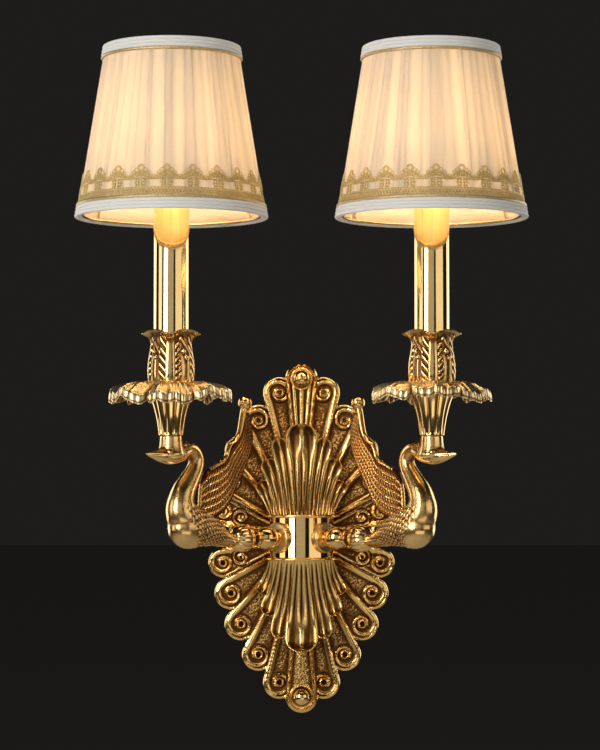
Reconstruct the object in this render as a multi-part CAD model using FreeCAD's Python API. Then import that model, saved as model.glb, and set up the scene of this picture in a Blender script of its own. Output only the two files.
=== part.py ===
"""Double arm wall sconce: two brass swans carry candle tubes with pleated fabric shades.

A lozenge wall plate, cast in brass with twenty two radiating petals, hangs on a steel strap.
Two acanthus leaves stand on the plate, above and below a polished half drum. The swans leave
the drum at 45 degrees to the wall. On each swan's head stand a fluted vase, a drip pan of
leaves, a candle cup and a candle tube with its E14 lampholder, bulb and clip-on shade.

Units are millimetres. The origin is the middle of the strap's back face, on the wall.
+X is to the right, +Z is up, and the room is on the -Y side of the wall.
"""
import FreeCAD
import Part
import math
import os

V = FreeCAD.Vector
OUT = "parts"
os.makedirs(OUT, exist_ok=True)

# ---------------------------------------------------------------- driving dimensions
SEAT = 0.05                   # gap between turned parts that are screwed or slid together

# wall plate
LOBES = [(18.3, 119.5), (35.6, 96.5), (50.0, 71.5), (58.3, 46.0)]   # lobe centres, X and Z
SIDE_LOBE = (65.0, 21.0)
END_LOBE_Z = 131.0            # top and bottom lobes, each with a ball nut
LOBE_RADIUS = 13.5
SIDE_LOBE_RADIUS = 12.0
RIM_THICKNESS = 5.5           # plate's edge, off the wall
LOBE_FACE = 7.5               # a petal's face at its lobe, off the wall
PLATE_FACE = 12.0             # plate's face in the middle, off the wall
PETAL_ROOT = 24.0             # where a petal starts, from the middle
PETAL_ROOT_HALF_WIDTH = 3.4
BEAD_ROOT = 40.0              # where its bead starts, clear of the drum and the lips
BEAD_WIDTH = 2.4
BEAD_RISE = 0.7               # bead above the petal's face
FIELD_DEPTH = 1.3             # sunk field of a petal
FIELD_BORDER = 3.0
EYE_RADIUS = 3.6              # domed eye of a volute
EYE_HOLE_RADIUS = 1.3
REED_RADIUS = 1.7             # three reeds on the top and bottom petals
CAVITY_DEPTH = 4.0            # hollow back, near the rim
CAVITY_SHARE = 0.86           # share of the lobes' centre line that it reaches
WIRING_DEPTH = 8.5            # hollow back, in the middle
WIRING_SHARE = 0.42
WIRE_HOLE_RADIUS = 8.0

# strap, studs and ball nuts that hold the plate on the wall
STRAP_WIDTH = 18.0
STRAP_THICKNESS = 2.5
STRAP_BEYOND_STUD = 6.0
STRAP_CLEARANCE = 0.6
WALL_HOLE_SPACING = 60.0
WALL_HOLE_RADIUS = 2.75
SUPPLY_HOLE_RADIUS = 5.5
STUD_RADIUS = 2.0
STUD_CLEARANCE = 0.2
BALL_NUT_RADIUS = 6.6
BALL_NUT_FOOT_RADIUS = 4.8
BALL_NUT_SUNK = 2.4           # ball's centre is this much nearer the plate than its radius

# drum and acanthus leaves
DRUM_RADIUS = 26.5
DRUM_HEIGHT = 33.0
DRUM_WALL = 2.5
LIP_THICKNESS = 2.2           # flat lip of a leaf over the drum
LIP_OVERHANG = 5.5
LEAF_HEIGHT = 74.0            # lip to tip
LEAF_SCREW_RADIUS = 1.5
LEAF_SCREW_HEAD_RADIUS = 2.9
LEAF_SCREW_HEAD = 1.8
LEAF_SCREW_X = 12.0
LEAF_SCREW_ABOVE_DRUM = 16.5
LEAF_SCREW_LENGTH = 8.0
BLOCK_WIDTH = 23.0            # terminal block
BLOCK_DEPTH = 7.0
BLOCK_HEIGHT = 8.5

# arm, from the drum outwards
ARM_ANGLE = 45.0              # from the wall plane towards the room
ROD_RADIUS = 3.5              # hollow tie rod through drum, washer and ball
ROD_BORE_RADIUS = 2.4
ROD_IN_SWAN = 12.0
WASHER_RADIUS = 12.6
WASHER_THICKNESS = 3.1        # beyond the drum
BALL_FOOT_THICKNESS = 1.6
BALL_FOOT_STEP = 2.0
BALL_RADIUS = 9.6
WASHER_TO_BALL = 10.4         # washer's face to ball's centre
BALL_TO_TAIL = 10.0           # ball's centre to the swan's end face
TAIL_TO_BALL = 17.5           # swan's end face to its tail ball's centre
TAIL_NECK_RADIUS = 5.4
TAIL_BALL_RADIUS = 11.2
ARM_NUT_FLATS = 13.0
ARM_NUT_THICKNESS = 4.0
SWAN_LENGTH = 77.5            # tail ball's centre to candle axis
SWAN_HEIGHT = 82.0            # drum's middle to collar's top
WING_THICKNESS = 7.0
WING_BALL_RADIUS = 5.7
FEATHERS = 6
FEATHER_WIDTH = 2.6
FEATHER_RISE = 0.8
COLLAR_RADIUS = 8.8
COLLAR_HEIGHT = 14.0

# candle stack
NIPPLE_RADIUS = 5.0
NIPPLE_BORE_RADIUS = 3.6
NIPPLE_IN_SWAN = 10.0
NIPPLE_IN_HOLDER = 6.0
VASE_HEIGHT = 36.0
VASE_FOOT_RADIUS = 9.2
VASE_RIM_RADIUS = 20.5
VASE_FLUTES = 10
FLUTE_DEPTH = 0.9
PAN_THICKNESS = 2.2
PAN_HUB_RADIUS = 19.0
PAN_LEAVES = 6
PAN_REACH = 49.5
PAN_TURN = 12.0               # degrees
CUP_HEIGHT = 44.0
CUP_FLOOR = 3.0
CUP_WALL = 1.2                # at the neck
CUP_SWELL = 2.1               # belly beyond the neck
CUP_LEAVES = 4
CUP_LEAF_HALF_WIDTH = 6.5
CUP_LEAF_TURN = 80.0          # degrees
CUP_LEAF_SUNK = 0.5           # leaf's middle behind the cup's surface
CUP_LEAF_RISE = 1.3           # its ridge before it
CUP_LEAF_TIP = 1.2            # its tip stands out beyond the rim
CUP_NUT_FLATS = 17.0
CUP_NUT_THICKNESS = 4.0
TUBE_RADIUS = 14.1
TUBE_WALL = 1.0
TUBE_LENGTH = 155.8
TUBE_FIT = 0.3                # tube in cup
HOLDER_LENGTH = 48.0
HOLDER_ABOVE_TUBE = 6.0
HOLDER_IN_TUBE = 0.7          # gap
HOLDER_RIM_STEP = 0.5         # rim inside the tube's outline
SOCKET_DEPTH = 25.0
SOCKET_FIT = 0.3
CONTACT_RADIUS = 2.5
CONTACT_HEIGHT = 2.0
CAP_RADIUS = 6.9
CAP_LENGTH = 22.0
CAP_THREAD = 0.9
CAP_THREADS = 5
GLASS_RADIUS = 17.5
GLASS_LENGTH = 77.0
GLASS_WALL = 1.0
FILAMENTS = 4
FILAMENT_RADIUS = 0.9
FILAMENT_LENGTH = 30.0
FILAMENT_SPREAD = 4.5
STEM_HEIGHT = 16.0

# shade, measured at the outside of its white trims
SHADE_BELOW_GLASS = 31.0      # shade's foot below the glass's foot
SHADE_HEIGHT = 136.0
SHADE_FOOT_RADIUS = 76.0
SHADE_TOP_RADIUS = 54.0
TRIM_STAND = 1.2              # trim proud of the fabric
TRIM_HEIGHT = 8.5
TRIM_LIP = 1.0
FABRIC_THICKNESS = 1.0
PLEATS = 44
PLEAT_DEPTH = 0.8
LINING_THICKNESS = 0.5
FRAME_WIRE_RADIUS = 1.2
FRAME_RIBS = 6
CLIP_WIRE_RADIUS = 0.9
CLIP_CLEARANCE = 0.3
CLIP_HEIGHTS = (27.0, 43.0)   # clip rings above the glass's foot
CLIP_ARMS = 3
CORD_RADIUS = 0.9             # gold cord beside the trim
LACE_HEIGHT = 24.0
LACE_THICKNESS = 0.8
LACE_MOTIFS = 22
LACE_FOOT_BAND = 5.0
LACE_WINDOW_WIDTH = 9.0
LACE_WINDOW_HEIGHT = 6.0
LACE_LOOP_RADIUS = 3.6
LACE_LOOP_HOLE_RADIUS = 1.6

# ---------------------------------------------------------------- places worked out from them
AXIS_Y = -PLATE_FACE                                  # drum's axis
LIP_Z = DRUM_HEIGHT / 2
LIP_TOP = LIP_Z + LIP_THICKNESS
LIP_RADIUS = DRUM_RADIUS + LIP_OVERHANG
LEAF_BACK_Y = -(PLATE_FACE + BEAD_RISE + SEAT)        # leaf above its lip clears the beads
LEAF_SCREW_Z = LIP_Z + LEAF_SCREW_ABOVE_DRUM
# along the arm, from the drum's axis
WASHER_FACE = DRUM_RADIUS + WASHER_THICKNESS
BALL_CENTRE = WASHER_FACE + WASHER_TO_BALL
TAIL_FACE = BALL_CENTRE + BALL_TO_TAIL
TAIL_BALL_CENTRE = TAIL_FACE + TAIL_TO_BALL
CANDLE_REACH = TAIL_BALL_CENTRE + SWAN_LENGTH
# heights above the drum's middle
COLLAR_TOP = SWAN_HEIGHT
PAN_FOOT = COLLAR_TOP + VASE_HEIGHT
CUP_FOOT = PAN_FOOT + PAN_THICKNESS
CUP_FLOOR_TOP = CUP_FOOT + CUP_FLOOR
TUBE_TOP = CUP_FLOOR_TOP + TUBE_LENGTH
HOLDER_TOP = TUBE_TOP + HOLDER_ABOVE_TUBE
HOLDER_FOOT = HOLDER_TOP - HOLDER_LENGTH
NIPPLE_FOOT = COLLAR_TOP - NIPPLE_IN_SWAN
NIPPLE_TOP = HOLDER_FOOT + NIPPLE_IN_HOLDER
CONTACT_FOOT = HOLDER_TOP - SOCKET_DEPTH
CAP_FOOT = CONTACT_FOOT + CONTACT_HEIGHT
GLASS_FOOT = CAP_FOOT + CAP_LENGTH
SHADE_FOOT = GLASS_FOOT - SHADE_BELOW_GLASS
SHADE_TOP = SHADE_FOOT + SHADE_HEIGHT
# radii that follow from a fit
CUP_BORE_RADIUS = TUBE_RADIUS + TUBE_FIT
CUP_NECK_RADIUS = CUP_BORE_RADIUS + CUP_WALL
CUP_BELLY_RADIUS = CUP_NECK_RADIUS + CUP_SWELL
HOLDER_RADIUS = TUBE_RADIUS - TUBE_WALL - HOLDER_IN_TUBE
SOCKET_RADIUS = CAP_RADIUS + SOCKET_FIT
SHADE_BUILD_UP = TRIM_STAND + PLEAT_DEPTH + FABRIC_THICKNESS + LINING_THICKNESS


# ---------------------------------------------------------------- small helpers
def ring(centre, across, up, half_width, half_height):
    """A closed ellipse about centre, as a rational curve that always starts along across."""
    unit = Part.Circle(V(0, 0, 0), V(0, 0, 1), 1.0).toBSpline()
    poles = [centre + across * (p.x * half_width) + up * (p.y * half_height) for p in unit.getPoles()]
    curve = Part.BSplineCurve()
    curve.buildFromPolesMultsKnots(poles, unit.getMultiplicities(), unit.getKnots(),
                                   unit.isPeriodic(), unit.Degree, unit.getWeights())
    return Part.Wire([curve.toShape()])


def loft(wires, ruled=False):
    solid = Part.makeLoft(wires, True, ruled)
    if solid.Volume < 0:
        solid.reverse()
    return solid


def polygon(points):
    return Part.Wire(Part.makePolygon(points + [points[0]]))


def prism(points, direction):
    return Part.Face(polygon(points)).extrude(direction)


def revolved(edges):
    """A solid of revolution about Z from the edges of a closed profile, in order."""
    return Part.Face(Part.Wire(edges)).revolve(V(0, 0, 0), V(0, 0, 1), 360)


def turned(profile):
    """A solid of revolution about Z from a closed list of (radius, height)."""
    return Part.Face(polygon([V(r, 0, h) for r, h in profile])).revolve(V(0, 0, 0), V(0, 0, 1), 360)


def line(start, end):
    return Part.makeLine(start, end)


def arc(start, middle, end):
    return Part.Arc(start, middle, end).toShape()


def spline(points):
    curve = Part.BSplineCurve()
    curve.interpolate(points)
    return curve.toShape()


def placed(shape, placement):
    copy = shape.copy()
    copy.Placement = placement.multiply(copy.Placement)
    return copy


def fused(shapes):
    return shapes[0].multiFuse(shapes[1:])


def radial(angle):
    """Unit vectors outwards and sideways at an angle about Z, in radians."""
    return V(math.cos(angle), math.sin(angle), 0), V(-math.sin(angle), math.cos(angle), 0)


def hexagon(flats, foot, height):
    corner = flats / math.sqrt(3)
    points = [radial(math.radians(60 * i))[0] * corner + V(0, 0, foot) for i in range(6)]
    return prism(points, V(0, 0, height))


def bore_z(radius, foot, height):
    return Part.makeCylinder(radius, height, V(0, 0, foot))


def bore_x(radius, start, length):
    return Part.makeCylinder(radius, length, V(start, 0, 0), V(1, 0, 0))


def wire(start, end, radius):
    return Part.makeCylinder(radius, (end - start).Length, start, end - start)


def radius_at(edge, height):
    """Where a profile edge stands at a height."""
    level = line(V(0, 0, height), V(500, 0, height))
    return edge.distToShape(level)[1][0][0].x


def mirrored_x(shape):
    return shape.mirror(V(0, 0, 0), V(1, 0, 0))


def mirrored_z(shape):
    return shape.mirror(V(0, 0, 0), V(0, 0, 1))


def export(name, shape):
    shape.exportStep(os.path.join(OUT, name + ".step"))
    print("%-28s solids %2d  volume %9.1f  valid %s"
          % (name, len(shape.Solids), shape.Volume, shape.isValid()))


def export_pair(name, right):
    export("right_" + name, right)
    export("left_" + name, mirrored_x(right))


# ---------------------------------------------------------------- wall plate
def petal_plane(lobe_x, lobe_z):
    """Petal's own frame: x along it, y towards the plate's long axis, z off its face."""
    reach = math.hypot(lobe_x, lobe_z)
    slope = math.atan2(PLATE_FACE - LOBE_FACE, reach - PETAL_ROOT)
    out, room = V(lobe_x / reach, 0, lobe_z / reach), V(0, -1, 0)
    along = out * math.cos(slope) - room * math.sin(slope)
    normal = room * math.cos(slope) + out * math.sin(slope)
    across = normal.cross(along)
    origin = V(lobe_x, -LOBE_FACE, lobe_z) - along * reach
    return reach, FreeCAD.Placement(FreeCAD.Matrix(along.x, across.x, normal.x, origin.x,
                                                   along.y, across.y, normal.y, origin.y,
                                                   along.z, across.z, normal.z, origin.z,
                                                   0, 0, 0, 1))


def petal_face(reach, radius, root, root_half_width, height):
    foot, head = V(root, -root_half_width, height), V(root, root_half_width, height)
    low, tip, high = (V(reach, -radius, height), V(reach + radius, 0, height), V(reach, radius, height))
    return Part.Face(Part.Wire([line(foot, low), arc(low, tip, high), line(high, head), line(head, foot)]))


def petal_pad(reach, lobe_radius):
    """Flat petal with a sunk field inside its border."""
    pad = petal_face(reach, lobe_radius, PETAL_ROOT, PETAL_ROOT_HALF_WIDTH, 0)
    field = petal_face(reach, lobe_radius - FIELD_BORDER, PETAL_ROOT + FIELD_BORDER,
                       PETAL_ROOT_HALF_WIDTH / 2, -FIELD_DEPTH)
    return pad.extrude(V(0, 0, -2 * PLATE_FACE)).cut(field.extrude(V(0, 0, 2 * FIELD_DEPTH)))


def volute_radii(lobe_radius):
    outer = lobe_radius - BEAD_WIDTH / 2
    return outer, outer * 0.70, outer * 0.46


def bead(reach, lobe_radius):
    """Raised bead with sloping sides: along the petal's outer side, then a spiral of half circles."""
    outer, middle, inner = volute_radii(lobe_radius)
    share = (BEAD_ROOT - PETAL_ROOT) / (reach - PETAL_ROOT)
    root_y = -(PETAL_ROOT_HALF_WIDTH + share * (outer - PETAL_ROOT_HALF_WIDTH))
    first, second = outer, outer - 2 * middle
    third = second + 2 * inner
    path = [line(V(BEAD_ROOT, root_y, 0), V(reach, -outer, 0)),
            arc(V(reach, -outer, 0), V(reach + outer, 0, 0), V(reach, first, 0)),
            arc(V(reach, first, 0), V(reach - middle, first - middle, 0), V(reach, second, 0)),
            arc(V(reach, second, 0), V(reach + inner, second + inner, 0), V(reach, third, 0))]
    bands = []
    for edge in path:
        start = edge.valueAt(edge.FirstParameter)
        across = V(0, 0, 1).cross(edge.tangentAt(edge.FirstParameter))
        foot = V(0, 0, -FIELD_DEPTH - SEAT)
        top = V(0, 0, BEAD_RISE)
        section = [start + across * (BEAD_WIDTH / 2) + foot, start + across * (BEAD_WIDTH / 5) + top,
                   start - across * (BEAD_WIDTH / 5) + top, start - across * (BEAD_WIDTH / 2) + foot]
        face = Part.Face(polygon(section))
        if len(bands) == 0:
            bands.append(face.extrude(edge.valueAt(edge.LastParameter) - start))
        else:
            bands.append(face.revolve(edge.Curve.Center, edge.Curve.Axis, 180))
    return fused(bands)


def side_petal(lobe_x, lobe_z, lobe_radius):
    """Petal with its bead and a volute round a pierced, domed eye."""
    reach, plane = petal_plane(lobe_x, lobe_z)
    outer, middle, inner = volute_radii(lobe_radius)
    eye_at = V(reach, outer - 2 * middle + inner, -EYE_RADIUS / 2)
    eye = Part.makeSphere(EYE_RADIUS, eye_at).cut(Part.makeCylinder(EYE_HOLE_RADIUS, EYE_RADIUS * 2, eye_at))
    return placed(petal_pad(reach, lobe_radius).multiFuse([bead(reach, lobe_radius), eye]), plane)


def end_petal():
    """Top petal, on the plate's long axis: three reeds run up to the flat seat of the ball nut."""
    reach, plane = petal_plane(0, END_LOBE_Z)
    spread = LOBE_RADIUS - FIELD_BORDER - 2 * REED_RADIUS
    reeds = []
    for side in (-1, 0, 1):
        start = V(BEAD_ROOT, side * spread / 3, -FIELD_DEPTH)
        end = V(reach - BALL_NUT_RADIUS, side * spread * 0.8, -FIELD_DEPTH)
        reeds.append(Part.makeCone(REED_RADIUS * 0.7, REED_RADIUS, (end - start).Length, start, end - start))
    seat = Part.makeCylinder(BALL_NUT_RADIUS, LOBE_FACE, V(0, 0, END_LOBE_Z), V(0, -1, 0))
    return placed(petal_pad(reach, LOBE_RADIUS).multiFuse(reeds), plane).fuse(seat)


def lozenge(share, depth):
    """Outline through the lobes' centres, drawn in by a share, at a depth off the wall."""
    quadrant = [(0.0, END_LOBE_Z)] + LOBES + [SIDE_LOBE]
    right = [(x * share, z * share) for x, z in quadrant]
    loop = right + [(x, -z) for x, z in reversed(right)]
    loop += [(-x, -z) for x, z in right[1:]] + [(-x, z) for x, z in reversed(right[1:])]
    return [V(x, -depth, z) for x, z in loop]


def block(share, start, end):
    """Upright block on the lozenge outline between two depths."""
    return prism(lozenge(share, start), V(0, start - end, 0))


def wall_plate():
    petals = [side_petal(x, z, LOBE_RADIUS) for x, z in LOBES] + [side_petal(*SIDE_LOBE, SIDE_LOBE_RADIUS)]
    quarter = fused(petals)
    top = end_petal()
    core = loft([polygon(lozenge(0.80, RIM_THICKNESS)), polygon(lozenge(WIRING_SHARE, PLATE_FACE))], True)
    solids = [quarter, mirrored_x(quarter), mirrored_z(quarter), mirrored_x(mirrored_z(quarter)),
              top, mirrored_z(top), block(1.05, 0, RIM_THICKNESS), core]
    cuts = [block(1.5, -4 * PLATE_FACE, 0), block(CAVITY_SHARE, -1, CAVITY_DEPTH),
            block(WIRING_SHARE, -1, WIRING_DEPTH), strap_blank(STRAP_CLEARANCE),
            Part.makeCylinder(WIRE_HOLE_RADIUS, 2 * PLATE_FACE, V(0, 0, 0), V(0, -1, 0))]
    cuts += [Part.makeCylinder(STUD_RADIUS + STUD_CLEARANCE, 2 * PLATE_FACE, V(0, 0, z), V(0, -1, 0))
             for z in (END_LOBE_Z, -END_LOBE_Z)]
    cuts += [Part.makeCylinder(LEAF_SCREW_RADIUS + STUD_CLEARANCE, 2 * PLATE_FACE, V(x, 0, z), V(0, -1, 0))
             for x, z in leaf_screw_places()]
    return fused(solids).cut(fused(cuts)).removeSplitter()


# ---------------------------------------------------------------- strap, studs and ball nuts
def strap_blank(clearance):
    half = STRAP_WIDTH / 2 + clearance
    straight = END_LOBE_Z + STRAP_BEYOND_STUD + clearance - half
    depth = STRAP_THICKNESS + clearance
    flat = Part.makeBox(2 * half, depth, 2 * straight, V(-half, -depth, -straight))
    return flat.multiFuse([Part.makeCylinder(half, depth, V(0, 0, z), V(0, -1, 0))
                           for z in (straight, -straight)])


def strap():
    holes = [(WALL_HOLE_SPACING / 2, WALL_HOLE_RADIUS), (-WALL_HOLE_SPACING / 2, WALL_HOLE_RADIUS),
             (END_LOBE_Z, STUD_RADIUS), (-END_LOBE_Z, STUD_RADIUS), (0, SUPPLY_HOLE_RADIUS)]
    drills = [Part.makeCylinder(radius, 3 * STRAP_THICKNESS, V(0, STRAP_THICKNESS, z), V(0, -1, 0))
              for z, radius in holes]
    return strap_blank(0).cut(fused(drills)).removeSplitter()


def stud():
    return Part.makeCylinder(STUD_RADIUS, LOBE_FACE + BALL_NUT_RADIUS, V(0, 0, END_LOBE_Z), V(0, -1, 0))


def ball_nut():
    """Ball on a short neck, tapped from behind."""
    seat = V(0, -LOBE_FACE, END_LOBE_Z)
    room = V(0, -1, 0)
    ball = Part.makeSphere(BALL_NUT_RADIUS, seat + room * (BALL_NUT_RADIUS + 1 - BALL_NUT_SUNK + 1))
    neck = Part.makeCylinder(BALL_NUT_FOOT_RADIUS, BALL_NUT_RADIUS, seat, room)
    behind = Part.makeBox(40, 40, 40, seat + V(-20, 0, -20))
    tapped = Part.makeCylinder(STUD_RADIUS + SEAT, BALL_NUT_RADIUS + SEAT, seat, room)
    return ball.fuse(neck).cut(behind.fuse(tapped))


# ---------------------------------------------------------------- drum and leaves
def arm_placement():
    return FreeCAD.Placement(V(0, AXIS_Y, 0), FreeCAD.Rotation(V(0, 0, 1), -ARM_ANGLE))


def room_side(y, foot, top):
    """Block that keeps what lies in front of a plane parallel to the wall."""
    return Part.makeBox(400, 200, top - foot, V(-200, y - 200, foot))


def drum():
    """Polished half drum, open behind and closed above and below by the leaves' lips."""
    shell = Part.makeCylinder(DRUM_RADIUS, DRUM_HEIGHT, V(0, AXIS_Y, -LIP_Z)).cut(
        Part.makeCylinder(DRUM_RADIUS - DRUM_WALL, DRUM_HEIGHT, V(0, AXIS_Y, -LIP_Z)))
    hole = placed(bore_x(ROD_RADIUS + SEAT, 0, 2 * DRUM_RADIUS), arm_placement())
    return shell.common(room_side(AXIS_Y, -LIP_Z, LIP_Z)).cut(hole.fuse(mirrored_x(hole)))


def leaf_finger(root_x, tip_x, tip_z, root_half_width, half_width, tip_off, curl):
    """One lobe of the leaf: a fleshy rib that leaves the lip, swells and ends in a rounded tip
    that curls forward. Sections lie level, and off is the distance in front of the plate."""
    root_off = math.sqrt(LIP_RADIUS ** 2 - root_x ** 2) - 3.0
    sections = []
    for rise, sideways, swell in ((0.0, 0.0, 0.10), (0.25, 0.10, 0.52), (0.5, 0.34, 0.86),
                                  (0.75, 0.70, 1.0), (0.92, 0.95, 0.82), (1.0, 1.0, 0.40)):
        off = tip_off + (root_off - tip_off) * (1 - rise) ** 1.8 + curl * rise ** 4
        half = root_half_width + (half_width - root_half_width) * swell if rise < 1 else half_width * swell
        deep = min(half * 0.8, 3.6)
        at = V(root_x + (tip_x - root_x) * sideways, AXIS_Y - off, LIP_TOP + (tip_z - LIP_TOP) * rise)
        sections.append(ring(at, V(1, 0, 0), V(0, 1, 0), half, deep))
    return loft(sections)


def leaf():
    """Upper acanthus leaf: a core that leans back from the lip to the plate, and seven fingers."""
    tip = LIP_TOP + LEAF_HEIGHT
    rows = []
    for rise, half_share, off_share in ((0.0, 0.94, 0.84), (0.16, 0.97, 0.60), (0.38, 0.88, 0.42),
                                        (0.6, 0.63, 0.28), (0.82, 0.36, 0.22), (0.93, 0.17, 0.16)):
        z, half = LIP_TOP + LEAF_HEIGHT * rise - SEAT, LIP_RADIUS * half_share
        left, right = V(-half, AXIS_Y, z), V(half, AXIS_Y, z)
        middle = V(0, AXIS_Y - LIP_RADIUS * off_share, z)
        rows.append(Part.Wire([arc(left, middle, right), line(right, left)]))
    solids = [loft(rows), leaf_finger(0, 0, tip, 4.6, 11.5, 7.0, 9.0)]
    for side in (1, -1):
        solids.append(leaf_finger(side * 9.0, side * 20.0, tip - 11, 4.4, 6.6, 5.0, 4.0))
        solids.append(leaf_finger(side * 17.5, side * 29.0, tip - 29, 4.6, 6.8, 4.0, 3.5))
        solids.append(leaf_finger(side * 26.5, side * 34.5, tip - 49, 4.4, 6.0, 3.5, 3.0))
    lip = Part.makeCylinder(LIP_RADIUS, LIP_THICKNESS, V(0, AXIS_Y, LIP_Z))
    keep = room_side(AXIS_Y, LIP_Z, LIP_TOP).fuse(room_side(LEAF_BACK_Y, LIP_TOP, tip + 20))
    hole_depth = LEAF_SCREW_LENGTH - PLATE_FACE + WIRING_DEPTH + SEAT
    holes = [Part.makeCylinder(LEAF_SCREW_RADIUS + SEAT, hole_depth, V(x, AXIS_Y, z), V(0, -1, 0))
             for x, z in leaf_screw_places() if z > 0]
    return fused(solids + [lip]).common(keep).cut(fused(holes))


def leaf_screw_places():
    return [(x, z) for x in (LEAF_SCREW_X, -LEAF_SCREW_X) for z in (LEAF_SCREW_Z, -LEAF_SCREW_Z)]


def leaf_screw(x, z):
    seat, room = V(x, -WIRING_DEPTH, z), V(0, -1, 0)
    shank = Part.makeCylinder(LEAF_SCREW_RADIUS, LEAF_SCREW_LENGTH, seat, room)
    head = Part.makeCylinder(LEAF_SCREW_HEAD_RADIUS, LEAF_SCREW_HEAD, seat, -room)
    slot = Part.makeBox(2 * LEAF_SCREW_HEAD_RADIUS, LEAF_SCREW_HEAD, LEAF_SCREW_HEAD / 2,
                        seat + V(-LEAF_SCREW_HEAD_RADIUS, LEAF_SCREW_HEAD / 2, -LEAF_SCREW_HEAD / 4))
    return shank.fuse(head).cut(slot)


def terminal_block():
    """Three pole connector on the plate, under the drum's upper lip."""
    top = LIP_Z - SEAT
    body = Part.makeBox(BLOCK_WIDTH, BLOCK_DEPTH, BLOCK_HEIGHT,
                        V(-BLOCK_WIDTH / 2, AXIS_Y - BLOCK_DEPTH, top - BLOCK_HEIGHT))
    pitch, clamp_radius = BLOCK_WIDTH / 3, BLOCK_HEIGHT / 5
    middle = V(0, AXIS_Y - BLOCK_DEPTH, top - BLOCK_HEIGHT / 2)
    clamps = [Part.makeCylinder(clamp_radius, BLOCK_DEPTH / 2, middle + V(i * pitch, 0, 0), V(0, 1, 0))
              for i in (-1, 0, 1)]
    return body.cut(fused(clamps))


# ---------------------------------------------------------------- arm
def washer():
    """Disc whose back is hollowed to sit on the drum."""
    disc = bore_x(WASHER_RADIUS, DRUM_RADIUS / 2, WASHER_FACE - DRUM_RADIUS / 2)
    return disc.cut(bore_z(DRUM_RADIUS, -DRUM_RADIUS, 2 * DRUM_RADIUS)).cut(
        bore_x(ROD_RADIUS + SEAT, 0, 2 * WASHER_FACE))


def arm_ball():
    """Turned ball between a stepped foot and the neck that meets the swan."""
    foot_end = WASHER_FACE + BALL_FOOT_THICKNESS
    waist = math.sqrt(max(BALL_RADIUS ** 2 - (BALL_CENTRE - foot_end) ** 2, ROD_RADIUS ** 2))
    ball = Part.makeSphere(BALL_RADIUS, V(BALL_CENTRE, 0, 0), V(1, 0, 0)).multiFuse(
        [bore_x(waist + BALL_FOOT_STEP, WASHER_FACE, BALL_FOOT_THICKNESS),
         bore_x(TAIL_NECK_RADIUS, BALL_CENTRE, BALL_TO_TAIL)])
    between = bore_x(2 * BALL_RADIUS, WASHER_FACE, TAIL_FACE - WASHER_FACE)
    return ball.common(between).cut(bore_x(ROD_RADIUS + SEAT, 0, 2 * TAIL_FACE))


def arm_nut_face():
    """Where the nut's corners meet the drum's inner wall."""
    return math.sqrt((DRUM_RADIUS - DRUM_WALL) ** 2 - (ARM_NUT_FLATS / 2) ** 2)


def arm_nut():
    turn = FreeCAD.Placement(V(arm_nut_face() - ARM_NUT_THICKNESS, 0, 0), FreeCAD.Rotation(V(0, 1, 0), 90))
    return placed(hexagon(ARM_NUT_FLATS, 0, ARM_NUT_THICKNESS), turn).cut(
        bore_x(ROD_RADIUS + SEAT, 0, 2 * DRUM_RADIUS))


def tie_rod():
    start = arm_nut_face() - ARM_NUT_THICKNESS - ROD_RADIUS / 2
    length = TAIL_FACE + ROD_IN_SWAN - start
    return bore_x(ROD_RADIUS, start, length).cut(bore_x(ROD_BORE_RADIUS, start, length))


def swan_point(along_share, up_share, sideways=0.0):
    """A place in the arm's plane, as shares of the swan's length and height."""
    return V(TAIL_BALL_CENTRE + along_share * SWAN_LENGTH, sideways, up_share * SWAN_HEIGHT)


# along, up, half height, half width
BODY = [(0.07, -0.012, 4.6, 6.0), (0.21, -0.005, 6.4, 8.0), (0.355, 0.037, 10.2, 10.5),
        (0.51, 0.078, 14.2, 12.6), (0.665, 0.117, 16.8, 14.2), (0.806, 0.141, 17.4, 14.6),
        (0.923, 0.154, 14.2, 12.6), (0.99, 0.159, 8.8, 8.4), (1.016, 0.159, 3.0, 3.0)]
# along, up, radius in the arm's plane, radius across it
NECK = [(0.852, 0.146, 12.6, 12.6), (0.866, 0.268, 12.8, 12.4), (0.862, 0.378, 10.6, 10.6),
        (0.817, 0.476, 9.1, 9.1), (0.747, 0.578, 7.8, 7.8), (0.680, 0.676, 6.7, 6.7),
        (0.654, 0.759, 6.2, 6.2), (0.690, 0.832, 6.2, 6.4), (0.783, 0.866, 7.2, 7.6),
        (0.905, 0.844, 9.0, 9.0), (1.028, 0.815, 7.8, 8.0), (1.150, 0.815, 5.2, 5.8),
        (1.258, 0.822, 2.7, 3.4), (1.341, 0.832, 0.9, 1.0)]
WING_FRONT = [(-0.030, 1.268), (0.006, 1.128), (0.052, 1.012), (0.142, 0.878), (0.316, 0.768),
              (0.516, 0.698)]
WING_LEADING = [(0.516, 0.698), (0.582, 0.573), (0.592, 0.439), (0.606, 0.305)]
WING_REAR = [(0.200, 0.073), (0.206, 0.359), (0.123, 0.515), (0.026, 0.626), (-0.050, 0.751),
             (-0.102, 0.880), (-0.124, 1.0), (-0.133, 1.128), (-0.097, 1.268)]
WING_BALL = (-0.039, 1.317)


def square_sections(rows):
    """Rings square to the path through the rows' places."""
    places = [swan_point(along, up) for along, up, _, _ in rows]
    rings = []
    for i, (_, _, tall, wide) in enumerate(rows):
        heading = (places[min(i + 1, len(rows) - 1)] - places[max(i - 1, 0)]).normalize()
        rings.append(ring(places[i], V(0, 1, 0), V(-heading.z, 0, heading.x), wide, tall))
    return rings


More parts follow.
